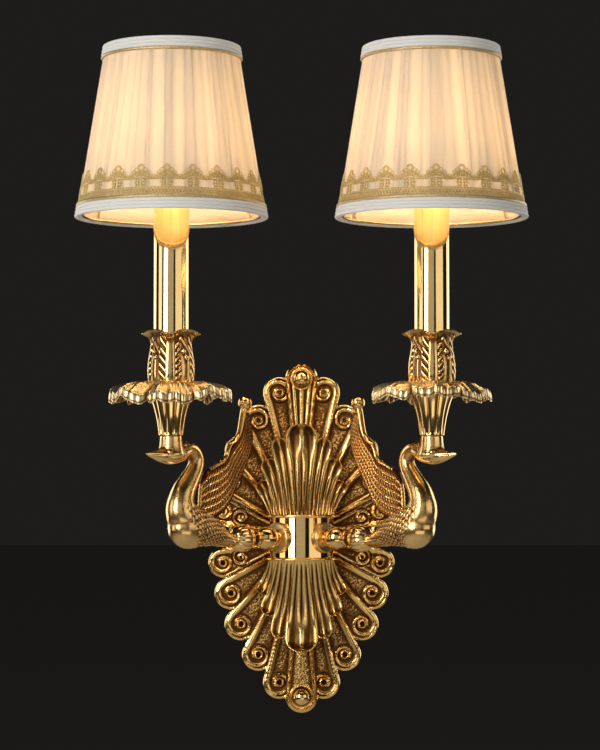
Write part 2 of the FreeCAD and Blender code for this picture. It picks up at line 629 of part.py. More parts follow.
def feather(share):
    """Long feather, proud of both faces of the wing, from the shoulder to the trailing tips."""
    half = WING_THICKNESS / 2 + FEATHER_RISE
    root = swan_point(0.265 + 0.31 * share, 0.22 + 0.17 * share, -half)
    knee = swan_point(0.058 + 0.387 * share, 0.61 + 0.049 * share, -half)
    tip = swan_point(-0.077 + 0.039 * share + 0.49 * share ** 2.2, 1.195 - 0.463 * share ** 1.4, -half)
    sides = [[], []]
    for t in (0.0, 0.35, 0.7, 1.0):
        at = root * (1 - t) ** 2 + knee * (2 * t * (1 - t)) + tip * t ** 2
        heading = ((knee - root) * (1 - t) + (tip - knee) * t).normalize()
        square = V(-heading.z, 0, heading.x) * (FEATHER_WIDTH / 2 * (1.25 - 0.7 * t))
        sides[0].append(at + square)
        sides[1].insert(0, at - square)
    outline = [spline(sides[0]), line(sides[0][-1], sides[1][0]), spline(sides[1]),
               line(sides[1][-1], sides[0][0])]
    return Part.Face(Part.Wire(outline)).extrude(V(0, 2 * half, 0))


def wing():
    """Pair of wings cast back to back: one blade that ends in a ball, with feathers on both faces."""
    half = WING_THICKNESS / 2
    front, leading, rear = [[swan_point(along, up, -half) for along, up in outline]
                            for outline in (WING_FRONT, WING_LEADING, WING_REAR)]
    outline = [spline(front), spline(leading), line(leading[-1], rear[0]), spline(rear),
               line(rear[-1], front[0])]
    blade = Part.Face(Part.Wire(outline)).extrude(V(0, WING_THICKNESS, 0))
    feathers = [feather(i / (FEATHERS - 1)) for i in range(FEATHERS)]
    return blade.multiFuse([Part.makeSphere(WING_BALL_RADIUS, swan_point(*WING_BALL))] + feathers)


def swan():
    """Swan in the arm's plane: tail ball, body, neck, head with beak, collar and raised wing."""
    body = loft([ring(swan_point(along, up), V(0, 1, 0), V(0, 0, 1), wide, tall)
                 for along, up, tall, wide in BODY])
    half_collar = COLLAR_HEIGHT / 2
    collar_foot = V(CANDLE_REACH, 0, COLLAR_TOP - COLLAR_HEIGHT)
    collar = Part.makeCone(COLLAR_RADIUS * 1.1, COLLAR_RADIUS, half_collar, collar_foot).fuse(
        Part.makeCylinder(COLLAR_RADIUS, half_collar, collar_foot + V(0, 0, half_collar)))
    tail = Part.makeSphere(TAIL_BALL_RADIUS, V(TAIL_BALL_CENTRE, 0, 0)).fuse(
        bore_x(TAIL_NECK_RADIUS, TAIL_FACE, TAIL_TO_BALL))
    whole = body.multiFuse([loft(square_sections(NECK)), collar, tail, wing()])
    rod_hole = bore_x(ROD_RADIUS + SEAT, TAIL_FACE, ROD_IN_SWAN + SEAT)
    nipple_hole = Part.makeCylinder(NIPPLE_RADIUS + SEAT, NIPPLE_IN_SWAN + SEAT,
                                    V(CANDLE_REACH, 0, NIPPLE_FOOT - SEAT))
    return whole.cut(rod_hole.fuse(nipple_hole))


# ---------------------------------------------------------------- candle stack, about its own axis
def nipple_hole(foot, height):
    return bore_z(NIPPLE_RADIUS + SEAT, foot - 1, height + 2)


def nipple():
    """Hollow threaded tube that ties the stack to the swan's head and carries the lampholder."""
    length = NIPPLE_TOP - NIPPLE_FOOT
    return bore_z(NIPPLE_RADIUS, NIPPLE_FOOT, length).cut(bore_z(NIPPLE_BORE_RADIUS, NIPPLE_FOOT, length))


def vase():
    """Fluted vase that opens to the drip pan."""
    flare = VASE_RIM_RADIUS - VASE_FOOT_RADIUS
    side = spline([V(VASE_FOOT_RADIUS + flare * out, 0, COLLAR_TOP + VASE_HEIGHT * up)
                   for out, up in ((0, 0), (0.11, 0.32), (0.39, 0.66), (0.69, 0.88), (1, 1))])
    foot, rim = V(VASE_FOOT_RADIUS, 0, COLLAR_TOP), V(VASE_RIM_RADIUS, 0, PAN_FOOT)
    blank = revolved([line(V(0, 0, COLLAR_TOP), foot), side, line(rim, V(0, 0, PAN_FOOT)),
                      line(V(0, 0, PAN_FOOT), V(0, 0, COLLAR_TOP))])
    flutes = []
    for i in range(VASE_FLUTES):
        out, across = radial(2 * math.pi * (i + 0.5) / VASE_FLUTES)
        rows = []
        for up, gap, half_width in ((0.04, 1.2, 0.17), (0.35, 1.6, 0.24), (0.66, 2.2, 0.255),
                                    (0.9, 2.4, 0.265), (1.02, 2.4, 0.27)):
            height = COLLAR_TOP + VASE_HEIGHT * up
            surface = radius_at(side, min(height, PAN_FOOT - SEAT))
            centre = out * (surface + gap) + V(0, 0, height)
            rows.append(ring(centre, across, out, surface * half_width, gap + FLUTE_DEPTH))
        flutes.append(loft(rows))
    return blank.cut(fused(flutes)).cut(nipple_hole(COLLAR_TOP, VASE_HEIGHT))


# reach from the candle axis and half width as shares of PAN_REACH, height above the pan's foot,
# and how far the leaf's sides hang below its middle
PAN_SECTIONS = [(0.24, 0.17, 1.9, 0.3), (0.42, 0.27, 4.7, 1.4), (0.6, 0.31, 5.3, 3.2),
                (0.78, 0.30, 2.2, 4.6), (0.91, 0.22, -2.7, 3.4), (1.0, 0.09, -7.4, 1.2)]


def drip_pan():
    """Rosette of drooping leaves round a hub. Each leaf is a thin curved shell."""
    half = V(0, 0, PAN_THICKNESS / 2)
    leaves = []
    for i in range(PAN_LEAVES):
        out, across = radial(2 * math.pi * i / PAN_LEAVES + math.radians(PAN_TURN))
        sections = []
        for reach, half_share, height, dish in PAN_SECTIONS:
            crown = out * (reach * PAN_REACH) + V(0, 0, PAN_FOOT + height)
            left = crown + across * (half_share * PAN_REACH) - V(0, 0, dish)
            right = crown - across * (half_share * PAN_REACH) - V(0, 0, dish)
            sections.append(Part.Wire([arc(left + half, crown + half, right + half),
                                       line(right + half, right - half),
                                       arc(right - half, crown - half, left - half),
                                       line(left - half, left + half)]))
        leaves.append(loft(sections))
    hub = bore_z(PAN_HUB_RADIUS, PAN_FOOT, PAN_THICKNESS)
    rooms = [bore_z(VASE_RIM_RADIUS + SEAT, PAN_FOOT - VASE_HEIGHT, VASE_HEIGHT),
             bore_z(CUP_BELLY_RADIUS + CUP_LEAF_RISE + SEAT, CUP_FOOT, CUP_HEIGHT)]
    return fused([hub] + leaves).cut(fused(rooms)).cut(nipple_hole(PAN_FOOT, PAN_THICKNESS))


def candle_cup():
    """Tulip cup with four leaves on its side and a rim that flares into leaf tips."""
    side = spline([V(CUP_NECK_RADIUS + CUP_SWELL * out, 0, CUP_FOOT + CUP_HEIGHT * up) for out, up in
                   ((0.55, 0), (1.0, 0.23), (0.62, 0.46), (0.0, 0.68), (0.35, 0.82), (1.7, 0.94))])
    rim_out = side.valueAt(side.LastParameter)
    rim_top = V(rim_out.x - CUP_WALL, 0, CUP_FOOT + CUP_HEIGHT)
    mouth = V(CUP_BORE_RADIUS, 0, CUP_FOOT + CUP_HEIGHT * 0.82)
    floor = V(CUP_BORE_RADIUS, 0, CUP_FLOOR_TOP)
    corners = [rim_out, rim_top, mouth, floor, V(0, 0, CUP_FLOOR_TOP), V(0, 0, CUP_FOOT),
               side.valueAt(side.FirstParameter)]
    cup = revolved([side] + [line(a, b) for a, b in zip(corners, corners[1:])])
    leaves = []
    for i in range(CUP_LEAVES):
        out, across = radial(2 * math.pi * i / CUP_LEAVES + math.radians(CUP_LEAF_TURN))
        rows = []
        for up, width, beyond in ((0.06, 0.75, 0), (0.28, 1.0, 0), (0.56, 0.85, 0), (0.78, 0.72, 0),
                                  (0.9, 0.8, 0.3), (0.97, 0.4, CUP_LEAF_TIP)):
            height = CUP_FOOT + CUP_HEIGHT * up
            surface = radius_at(side, min(height, rim_out.z - SEAT)) + beyond
            rows.append(ring(out * (surface - CUP_LEAF_SUNK) + V(0, 0, height), across, out,
                             CUP_LEAF_HALF_WIDTH * width, CUP_LEAF_RISE + CUP_LEAF_SUNK))
        leaves.append(loft(rows))
    bore = bore_z(CUP_BORE_RADIUS, CUP_FLOOR_TOP, CUP_HEIGHT)
    return fused([cup] + leaves).cut(bore.fuse(nipple_hole(CUP_FOOT, CUP_FLOOR)))


def cup_nut():
    return hexagon(CUP_NUT_FLATS, CUP_FLOOR_TOP, CUP_NUT_THICKNESS).cut(
        nipple_hole(CUP_FLOOR_TOP, CUP_NUT_THICKNESS))


def candle_tube():
    return bore_z(TUBE_RADIUS, CUP_FLOOR_TOP, TUBE_LENGTH).cut(
        bore_z(TUBE_RADIUS - TUBE_WALL, CUP_FLOOR_TOP, TUBE_LENGTH))


def lampholder():
    """E14 holder: a barrel in the tube, a rim over the tube's end, and the nipple's socket below."""
    barrel = bore_z(HOLDER_RADIUS, HOLDER_FOOT, HOLDER_LENGTH)
    rim = bore_z(TUBE_RADIUS - HOLDER_RIM_STEP, TUBE_TOP, HOLDER_ABOVE_TUBE)
    socket = bore_z(SOCKET_RADIUS, CONTACT_FOOT, SOCKET_DEPTH + 1)
    wires = bore_z(NIPPLE_BORE_RADIUS, NIPPLE_TOP - 1, (CONTACT_FOOT - NIPPLE_TOP) / 2)
    return barrel.fuse(rim).cut(socket.multiFuse([nipple_hole(HOLDER_FOOT, NIPPLE_IN_HOLDER - 1), wires]))


def holder_contact():
    return bore_z(CONTACT_RADIUS, CONTACT_FOOT, CONTACT_HEIGHT)


def bulb_cap():
    """E14 cap: the centre contact, a cone and a threaded shell."""
    root = CAP_RADIUS - CAP_THREAD
    shell_foot = CAP_FOOT + CAP_LENGTH / 5
    pitch = (GLASS_FOOT - shell_foot) / (CAP_THREADS + 1)
    profile = [(0, CAP_FOOT), (CONTACT_RADIUS, CAP_FOOT), (root, shell_foot)]
    for i in range(CAP_THREADS):
        profile += [(CAP_RADIUS, shell_foot + pitch * (i + 0.5)), (root, shell_foot + pitch * (i + 1))]
    return turned(profile + [(root, GLASS_FOOT), (0, GLASS_FOOT)])


def glass_side(inset):
    """Candle bulb's profile: a flare from the neck, a belly and a drawn-out tip."""
    def at(radius, share):
        return V(radius - inset, 0, GLASS_FOOT + GLASS_LENGTH * share)
    neck = CAP_RADIUS - CAP_THREAD + inset * 0.2
    foot = V(neck, 0, GLASS_FOOT + inset)
    tip = V(GLASS_RADIUS * 0.1, 0, GLASS_FOOT + GLASS_LENGTH - 2.5 * inset)
    shoulder, crown = at(GLASS_RADIUS * 0.83, 0.24), at(GLASS_RADIUS * 0.70, 0.74)
    return [arc(foot, at(GLASS_RADIUS * 0.53, 0.11), shoulder), arc(shoulder, at(GLASS_RADIUS, 0.46), crown),
            line(crown, tip)]


def glass_solid(inset):
    side = glass_side(inset)
    foot, tip = side[0].valueAt(side[0].FirstParameter), side[-1].valueAt(side[-1].LastParameter)
    return revolved(side + [line(tip, V(0, 0, tip.z)), line(V(0, 0, tip.z), V(0, 0, foot.z)),
                            line(V(0, 0, foot.z), foot)])


def bulb_glass():
    return glass_solid(0.0).cut(glass_solid(GLASS_WALL))


def bulb_filament():
    """Glass stem with two plates that hold upright filaments."""
    foot = GLASS_FOOT + GLASS_WALL
    plate = FILAMENT_SPREAD + 2 * FILAMENT_RADIUS
    parts = [Part.makeCone(CAP_RADIUS / 2, CONTACT_RADIUS / 2, STEM_HEIGHT, V(0, 0, foot))]
    parts += [bore_z(plate, foot + STEM_HEIGHT + end, FILAMENT_RADIUS) for end in (0, FILAMENT_LENGTH)]
    for i in range(FILAMENTS):
        out = radial(2 * math.pi * i / FILAMENTS)[0]
        start = out * FILAMENT_SPREAD + V(0, 0, foot + STEM_HEIGHT)
        parts.append(Part.makeCylinder(FILAMENT_RADIUS, FILAMENT_LENGTH, start))
    return fused(parts)


# ---------------------------------------------------------------- shade, about the candle axis
def shade_radius(height):
    """Outside of the white trims' cone at a height."""
    return SHADE_FOOT_RADIUS + (SHADE_TOP_RADIUS - SHADE_FOOT_RADIUS) * (height - SHADE_FOOT) / SHADE_HEIGHT


def cone_shell(foot, top, inset, thickness):
    """Tapered band that lies inset behind the trims' cone."""
    low, high = shade_radius(foot) - inset, shade_radius(top) - inset
    return turned([(low, foot), (high, top), (high - thickness, top), (low - thickness, foot)])


def fabric():
    """Pleated fabric, drawn from the top ring to the wider bottom ring."""
    foot, top = SHADE_FOOT + TRIM_STAND, SHADE_TOP - TRIM_STAND
    rows = []
    for height in (foot, top):
        crest = shade_radius(height) - TRIM_STAND
        edges = []
        for i in range(PLEATS):
            ends = [radial(2 * math.pi * (i + k) / PLEATS)[0] * (crest - PLEAT_DEPTH) for k in (0, 0.5, 1)]
            middle = radial(2 * math.pi * (i + 0.5) / PLEATS)[0] * crest
            up = V(0, 0, height)
            edges.append(arc(ends[0] + up, middle + up, ends[2] + up))
        rows.append(Part.Wire(edges))
    inner = SHADE_BUILD_UP - LINING_THICKNESS
    hollow = Part.makeCone(shade_radius(foot - 1) - inner, shade_radius(top + 1) - inner, top - foot + 2,
                           V(0, 0, foot - 1))
    return loft(rows, True).cut(hollow)


def lining():
    return cone_shell(SHADE_FOOT + TRIM_STAND, SHADE_TOP - TRIM_STAND, SHADE_BUILD_UP - LINING_THICKNESS,
                      LINING_THICKNESS)


def rim_trim(edge, direction):
    """White braid folded over a rim: a U section round the fabric and the lining."""
    away, base = edge + direction * TRIM_HEIGHT, edge + direction * TRIM_STAND
    at_away, at_edge, at_base = shade_radius(away), shade_radius(edge), shade_radius(base)
    back = SHADE_BUILD_UP + TRIM_LIP
    return turned([(at_away, away), (at_edge, edge), (at_edge - back, edge), (at_away - back, away),
                   (at_away - SHADE_BUILD_UP, away), (at_base - SHADE_BUILD_UP, base),
                   (at_base - TRIM_STAND, base), (at_away - TRIM_STAND, away)])


def gold_cord(height):
    radius = shade_radius(height) - TRIM_STAND + CORD_RADIUS + SEAT
    return Part.makeTorus(radius, CORD_RADIUS, V(0, 0, height))


def lace():
    """Gold lace on the fabric: a foot band, windows between upright motifs, and loops on top."""
    foot = SHADE_FOOT + TRIM_HEIGHT + 2 * CORD_RADIUS + 2 * SEAT
    top = foot + LACE_HEIGHT
    loop_height = top - LACE_LOOP_RADIUS
    inset = TRIM_STAND - LACE_THICKNESS - SEAT
    band = cone_shell(foot, loop_height - LACE_LOOP_RADIUS / 2, inset, LACE_THICKNESS)
    loop_band = cone_shell(loop_height - LACE_LOOP_RADIUS, top, inset, LACE_THICKNESS)
    start, through = SHADE_TOP_RADIUS / 2, SHADE_FOOT_RADIUS
    discs, cuts = [], []
    for i in range(LACE_MOTIFS):
        out = radial(2 * math.pi * i / LACE_MOTIFS)[0]
        middle = out * start + V(0, 0, loop_height)
        discs.append(Part.makeCylinder(LACE_LOOP_RADIUS, through, middle, out))
        cuts.append(Part.makeCylinder(LACE_LOOP_HOLE_RADIUS, through, middle, out))
        ahead, side = radial(2 * math.pi * (i + 0.5) / LACE_MOTIFS)
        wide, tall = side * LACE_WINDOW_WIDTH, V(0, 0, LACE_WINDOW_HEIGHT)
        corner = ahead * start - wide * 0.5 + V(0, 0, foot + LACE_FOOT_BAND)
        cuts.append(prism([corner, corner + wide, corner + wide + tall, corner + tall], ahead * through))
    return band.fuse(loop_band.common(fused(discs))).cut(fused(cuts))


def shade_frame():
    """Wire frame: two rings, slanting ribs, and a bulb clip carried by arms from the top ring."""
    inset = SHADE_BUILD_UP + TRIM_LIP + FRAME_WIRE_RADIUS + SEAT
    foot, top = SHADE_FOOT + 2 * FRAME_WIRE_RADIUS, SHADE_TOP - 2 * FRAME_WIRE_RADIUS
    low, high = shade_radius(foot) - inset, shade_radius(top) - inset
    parts = [Part.makeTorus(low, FRAME_WIRE_RADIUS, V(0, 0, foot)),
             Part.makeTorus(high, FRAME_WIRE_RADIUS, V(0, 0, top))]
    for i in range(FRAME_RIBS):
        out = radial(2 * math.pi * (i + 0.25) / FRAME_RIBS)[0]
        parts.append(wire(out * low + V(0, 0, foot), out * high + V(0, 0, top), CLIP_WIRE_RADIUS))
    belly = glass_side(0.0)[1]
    heights = [GLASS_FOOT + rise for rise in CLIP_HEIGHTS]
    radii = [radius_at(belly, height) + CLIP_CLEARANCE + CLIP_WIRE_RADIUS for height in heights]
    parts += [Part.makeTorus(radius, CLIP_WIRE_RADIUS, V(0, 0, height))
              for radius, height in zip(radii, heights)]
    for i in range(CLIP_ARMS):
        out = radial(2 * math.pi * (i + 0.5) / CLIP_ARMS)[0]
        route = [out * (radii[0] + CLIP_WIRE_RADIUS / 2) + V(0, 0, heights[0]),
                 out * (radii[1] + CLIP_WIRE_RADIUS / 2) + V(0, 0, heights[1]),
                 out * (radii[1] + 4 * CLIP_WIRE_RADIUS) + V(0, 0, top - 8 * CLIP_WIRE_RADIUS),
                 out * high + V(0, 0, top)]
        parts += [wire(start, end, CLIP_WIRE_RADIUS) for start, end in zip(route, route[1:])]
        parts += [Part.makeSphere(CLIP_WIRE_RADIUS, corner) for corner in route[1:3]]
    return fused(parts)


# ---------------------------------------------------------------- build
def main():
    export("wall_plate", wall_plate())
    export("wall_strap", strap())
    export("strap_studs", Part.makeCompound([stud(), mirrored_z(stud())]))
    export("top_ball_nut", ball_nut())
    export("bottom_ball_nut", mirrored_z(ball_nut()))
    upper_leaf = leaf()
    export("acanthus_leaf_upper", upper_leaf)
    export("acanthus_leaf_lower", mirrored_z(upper_leaf))
    export("leaf_screws", Part.makeCompound([leaf_screw(x, z) for x, z in leaf_screw_places()]))
    export("centre_drum", drum())
    export("terminal_block", terminal_block())

    in_arm = arm_placement()
    for name, make in (("arm_washer", washer), ("arm_ball", arm_ball), ("arm_nut", arm_nut),
                       ("arm_tie_rod", tie_rod), ("swan_arm", swan)):
        export_pair(name, placed(make(), in_arm))

    on_candle_axis = in_arm.multiply(FreeCAD.Placement(V(CANDLE_REACH, 0, 0), FreeCAD.Rotation()))
    for name, make in (("threaded_nipple", nipple), ("fluted_vase", vase), ("drip_pan", drip_pan),
                       ("candle_cup", candle_cup), ("cup_nut", cup_nut), ("candle_tube", candle_tube),
                       ("lampholder", lampholder), ("holder_contact", holder_contact),
                       ("bulb_cap", bulb_cap), ("bulb_glass", bulb_glass), ("bulb_filament", bulb_filament),
                       ("shade_frame", shade_frame), ("shade_lining", lining), ("shade_fabric", fabric),
                       ("shade_lace", lace)):
        export_pair(name, placed(make(), on_candle_axis))
    export_pair("shade_trim_top", placed(rim_trim(SHADE_TOP, -1), on_candle_axis))
    export_pair("shade_trim_bottom", placed(rim_trim(SHADE_FOOT, 1), on_candle_axis))
    cords = [gold_cord(SHADE_FOOT + TRIM_HEIGHT + CORD_RADIUS + SEAT),
             gold_cord(SHADE_TOP - TRIM_HEIGHT - CORD_RADIUS - SEAT)]
    export_pair("shade_gold_cords", placed(Part.makeCompound(cords), on_candle_axis))


main()
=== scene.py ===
"""Double arm wall sconce: gilt and polished brass, with two pleated shades that glow from inside.

Lengths are in millimetres until a piece's mesh is made, and the wall is the plane y = 0.
"""
import math

import bpy
import numpy as np
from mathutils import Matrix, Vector


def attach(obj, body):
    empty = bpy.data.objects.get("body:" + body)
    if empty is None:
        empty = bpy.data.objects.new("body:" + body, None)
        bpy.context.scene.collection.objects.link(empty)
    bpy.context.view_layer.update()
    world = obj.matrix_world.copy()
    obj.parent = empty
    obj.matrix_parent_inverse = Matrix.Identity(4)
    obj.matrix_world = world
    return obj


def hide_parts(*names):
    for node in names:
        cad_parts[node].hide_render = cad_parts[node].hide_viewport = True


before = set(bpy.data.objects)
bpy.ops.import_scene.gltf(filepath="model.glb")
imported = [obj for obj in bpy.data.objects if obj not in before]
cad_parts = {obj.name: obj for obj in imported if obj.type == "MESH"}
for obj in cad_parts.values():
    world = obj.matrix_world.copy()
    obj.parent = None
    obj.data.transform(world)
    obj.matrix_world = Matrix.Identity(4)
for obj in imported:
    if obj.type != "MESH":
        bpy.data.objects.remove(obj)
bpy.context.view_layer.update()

# ---------------------------------------------------------------- camera
# A little above the drum, two metres in front of the candle tubes, tipped up a little.


def in_scene(name, data):
    """A new object in the scene that shows the data."""
    thing = bpy.data.objects.new(name, data)
    bpy.context.scene.collection.objects.link(thing)
    return thing


photo_camera = bpy.data.cameras.new("photo_camera")
photo_camera.lens = 122.16
photo_camera.shift_x = -0.002
camera_stand = in_scene("camera_stand", photo_camera)
camera_stand.location = (0.0, -2.1145, 0.039)
camera_stand.rotation_euler = (math.radians(92.587), 0.0, 0.0)
bpy.context.scene.camera = camera_stand

# ---------------------------------------------------------------- wall plate
# Lozenge of twenty two radiating petals, sand cast in brass, hollow behind. Each petal has a rim
# bead that curls into a volute round a pierced eye, and a stippled field. Gilt, then rubbed so
# that the ridges shine; the hollows get a brown patina and painted shade, darkest in the deepest.
GILT = (1.0, 0.66, 0.24)
# Dark brown of the hollows: the real patina, and painted shade where they run deep.
PATINA_AND_SHADE = (0.20, 0.085, 0.022)


def new_finish(name):
    """A new material with its nodes, its links and its main shader."""
    material = bpy.data.materials.new(name)
    material.use_nodes = True
    nodes = material.node_tree.nodes
    return material, nodes, material.node_tree.links, nodes["Principled BSDF"]


def object_place(nodes):
    return nodes.new("ShaderNodeTexCoord").outputs["Object"]


def vertex_value(nodes, name):
    """The value of that name that the mesh holds at each vertex."""
    attribute = nodes.new("ShaderNodeAttribute")
    attribute.attribute_name = name
    return attribute.outputs["Fac"]


def noise_value(nodes, links, place, scale, detail=2.0):
    noise = nodes.new("ShaderNodeTexNoise")
    noise.inputs["Scale"].default_value = scale
    noise.inputs["Detail"].default_value = detail
    links.new(place, noise.inputs["Vector"])
    return noise.outputs["Fac"]


def noise_bump(nodes, links, place, scale, distance, strength, below=None, detail=4.0):
    """Bump from a noise at a scale in Object coordinates; returns the Bump node."""
    bump = nodes.new("ShaderNodeBump")
    bump.inputs["Distance"].default_value = distance
    bump.inputs["Strength"].default_value = strength
    links.new(noise_value(nodes, links, place, scale, detail), bump.inputs["Height"])
    if below is not None:
        links.new(below.outputs["Normal"], bump.inputs["Normal"])
    return bump


def scaled_sum(nodes, links, value, factor, other):
    """value * factor + other, where other is a number or another value."""
    node = nodes.new("ShaderNodeMath")
    node.operation = "MULTIPLY_ADD"
    links.new(value, node.inputs[0])
    node.inputs[1].default_value = factor
    if isinstance(other, float):
        node.inputs[2].default_value = other
    else:
        links.new(other, node.inputs[2])
    return node.outputs["Value"]


def spread_to(nodes, links, value, low, high, target):
    """The value, 0 to 1, goes to the target as low to high."""
    spread = nodes.new("ShaderNodeMapRange")
    spread.inputs["To Min"].default_value = low
    spread.inputs["To Max"].default_value = high
    links.new(value, spread.inputs["Value"])
    links.new(spread.outputs["Result"], target)


def colours_to(nodes, links, value, stops, target):
    """The value picks a colour between the stops, and that goes to the target."""
    ramp = nodes.new("ShaderNodeValToRGB")
    band = ramp.color_ramp
    while len(band.elements) < len(stops):
        band.elements.new(0.5)
    for element, (position, colour) in zip(band.elements, stops):
        element.position = position
        element.color = (*colour, 1.0)
    links.new(value, ramp.inputs["Fac"])
    links.new(ramp.outputs["Color"], target)


def grey(value):
    return (value, value, value)


def aged_gilt(name, sand, bright=GILT, dark=PATINA_AND_SHADE, shine=0.16, dull=0.52):
    """Gilt brass: bright and smooth where 'hollow' is low, brown and matt where it is high, with patina and
    painted shade in the hollows.
    """
    finish, nodes, links, shader = new_finish(name)
    shader.inputs["Metallic"].default_value = 1.0
    place = object_place(nodes)
    field = vertex_value(nodes, "sand")
    blotches = scaled_sum(nodes, links, noise_value(nodes, links, place, 55.0, 6.0), 0.35, -0.17)
    dusty = scaled_sum(nodes, links, field, 0.10, blotches)
    # The brown in the hollows is patina, with painted shade added the deeper they are.
    patina_and_shade = scaled_sum(nodes, links, vertex_value(nodes, "hollow"), 1.0, dusty)
    middle = tuple(0.62 * b + 0.38 * d for b, d in zip(bright, dark))
    # Darker than the patina, for the deepest hollows: painted shade.
    deepest_shade = tuple(0.5 * d for d in dark)
    colours_to(nodes, links, patina_and_shade, [(0.30, bright), (0.50, middle), (0.66, dark), (0.9, deepest_shade)],
               shader.inputs["Base Color"])
    colours_to(nodes, links, patina_and_shade, [(0.30, grey(shine)), (0.70, grey(dull))], shader.inputs["Roughness"])
    waves = noise_bump(nodes, links, place, 130.0, 0.0006, 0.25)
    stipple = noise_bump(nodes, links, place, 620.0, 0.0020, sand, waves, 3.0)
    spread_to(nodes, links, field, 0.05, sand, stipple.inputs["Strength"])
    links.new(stipple.outputs["Normal"], shader.inputs["Normal"])
    return finish


MM = 0.001
HOLLOW_PASSES = (4, 16)


def even_turns(count):
    """That many angles evenly round a circle, from 0."""
    return np.arange(count) * 2 * math.pi / count


def mesh_of(name, points, faces):
    """A mesh in metres from points in millimetres."""
    mesh = bpy.data.meshes.new(name)
    mesh.from_pydata([tuple(p) for p in np.asarray(points) * MM], [], faces)
    return mesh


def mark_vertices(mesh, name, values):
    layer = mesh.attributes.new(name, "FLOAT", "POINT")
    layer.data.foreach_set("value", np.asarray(values, dtype=np.float32))


def mark_hollows(mesh, gain):
    """Vertex value 'hollow', about 0.5 on level metal, less on ridges and more in grooves; it sets patina and
    painted shade.
    """
    count = len(mesh.vertices)
    points, normals = np.empty(count * 3), np.empty(count * 3)
    mesh.vertices.foreach_get("co", points)
    mesh.vertices.foreach_get("normal", normals)
    points, normals = points.reshape(-1, 3) * 1000, normals.reshape(-1, 3)
    ends = np.empty(len(mesh.edges) * 2, dtype=np.int32)
    mesh.edges.foreach_get("vertices", ends)
    a, b = ends[0::2], ends[1::2]
    degree = np.maximum(np.bincount(a, minlength=count) + np.bincount(b, minlength=count), 1)
    smooth, depth = points.copy(), np.zeros(count)
    for i in range(1, HOLLOW_PASSES[-1] + 1):
        total = [np.bincount(a, smooth[b, k], count) + np.bincount(b, smooth[a, k], count)
                 for k in range(3)]
        smooth = np.stack(total, 1) / degree[:, None]
        if i in HOLLOW_PASSES:
            # Depth below the smoothed surface: how far in a recess lies, for patina and painted shade.
            depth += ((smooth - points) * normals).sum(1)
    mark_vertices(mesh, "hollow", np.clip(0.5 + gain * depth, 0, 1))


def cast_piece(name, points, faces, finish, body="fixture", stands_for=(), slot="antique_brass",
               marks=None, sharp=None, gain=0.55):
    """One closed piece from points in millimetres, riding on its body and finished all over."""
    mesh = mesh_of(name, points, faces)
    mesh.validate()
    mesh.polygons.foreach_set("use_smooth", [True] * len(mesh.polygons))
    if sharp is not None:
        mesh.set_sharp_from_angle(angle=math.radians(sharp))
    mesh.materials.append(finish)
    if gain:
        mark_hollows(mesh, gain)
    for key, values in (marks or {}).items():
        mark_vertices(mesh, key, values)
    piece = in_scene(name, mesh)
    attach(piece, body)
    for node in stands_for:
        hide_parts(node)
    return piece


def smoothstep(low, high, value):
    t = np.clip((value - low) / (high - low), 0, 1)
    return t * t * (3 - 2 * t)


def nearest_on_path(path, u, v):
    """Distance to a polyline, the side it lies on (+1 left of it) and how far along, 0 to 1."""
    best = np.full(u.shape, 1e9)
    side, along = np.zeros(u.shape), np.zeros(u.shape)
    for i in range(len(path) - 1):
        (au, av), (bu, bv) = path[i], path[i + 1]
        du, dv = bu - au, bv - av
        t = np.clip(((u - au) * du + (v - av) * dv) / (du * du + dv * dv), 0, 1)
        ou, ov = u - au - t * du, v - av - t * dv
        distance = np.hypot(ou, ov)
        nearer = distance < best
        best = np.where(nearer, distance, best)
        side = np.where(nearer, np.sign(du * ov - dv * ou), side)
        along = np.where(nearer, (i + t) / (len(path) - 1), along)
    return best, side, along


PETAL_ROOT, ROOT_HALF, BEAD_ROOT = 24.0, 3.4, 34.0
FACE_ROOT, FACE_LOBE, RIM_FACE = 12.0, 7.5, 5.5
# each lobe's centre, across and up, and its radius
LOBES = [(18.3, 119.5, 13.5), (35.6, 96.5, 13.5), (50.0, 71.5, 13.5), (58.3, 46.0, 13.5),
         (65.0, 21.0, 12.0)]
INNER_SCROLL = (50.0, 16.5, 8.0)
END_LOBE = (0.0, 131.0, 13.5)


def petal_place(x, z, lobe):
    lx, lz, radius = lobe
    reach = math.hypot(lx, lz)
    u, v = (x * lx + z * lz) / reach, (z * lx - x * lz) / reach
    half = ROOT_HALF + (u - PETAL_ROOT) / (reach - PETAL_ROOT) * (radius - ROOT_HALF)
    edge = np.where(u > reach, radius - np.hypot(u - reach, v), half - np.abs(v))
    edge = np.where(u < PETAL_ROOT, u - PETAL_ROOT, edge)
    return u, v, reach, edge


def petal_face(u, reach):
    """A petal's own slope, from the middle of the plate down to its lobe."""
    slope = (FACE_LOBE - FACE_ROOT) * (u - PETAL_ROOT) / (reach - PETAL_ROOT)
    return np.minimum(FACE_ROOT + slope, FACE_ROOT)


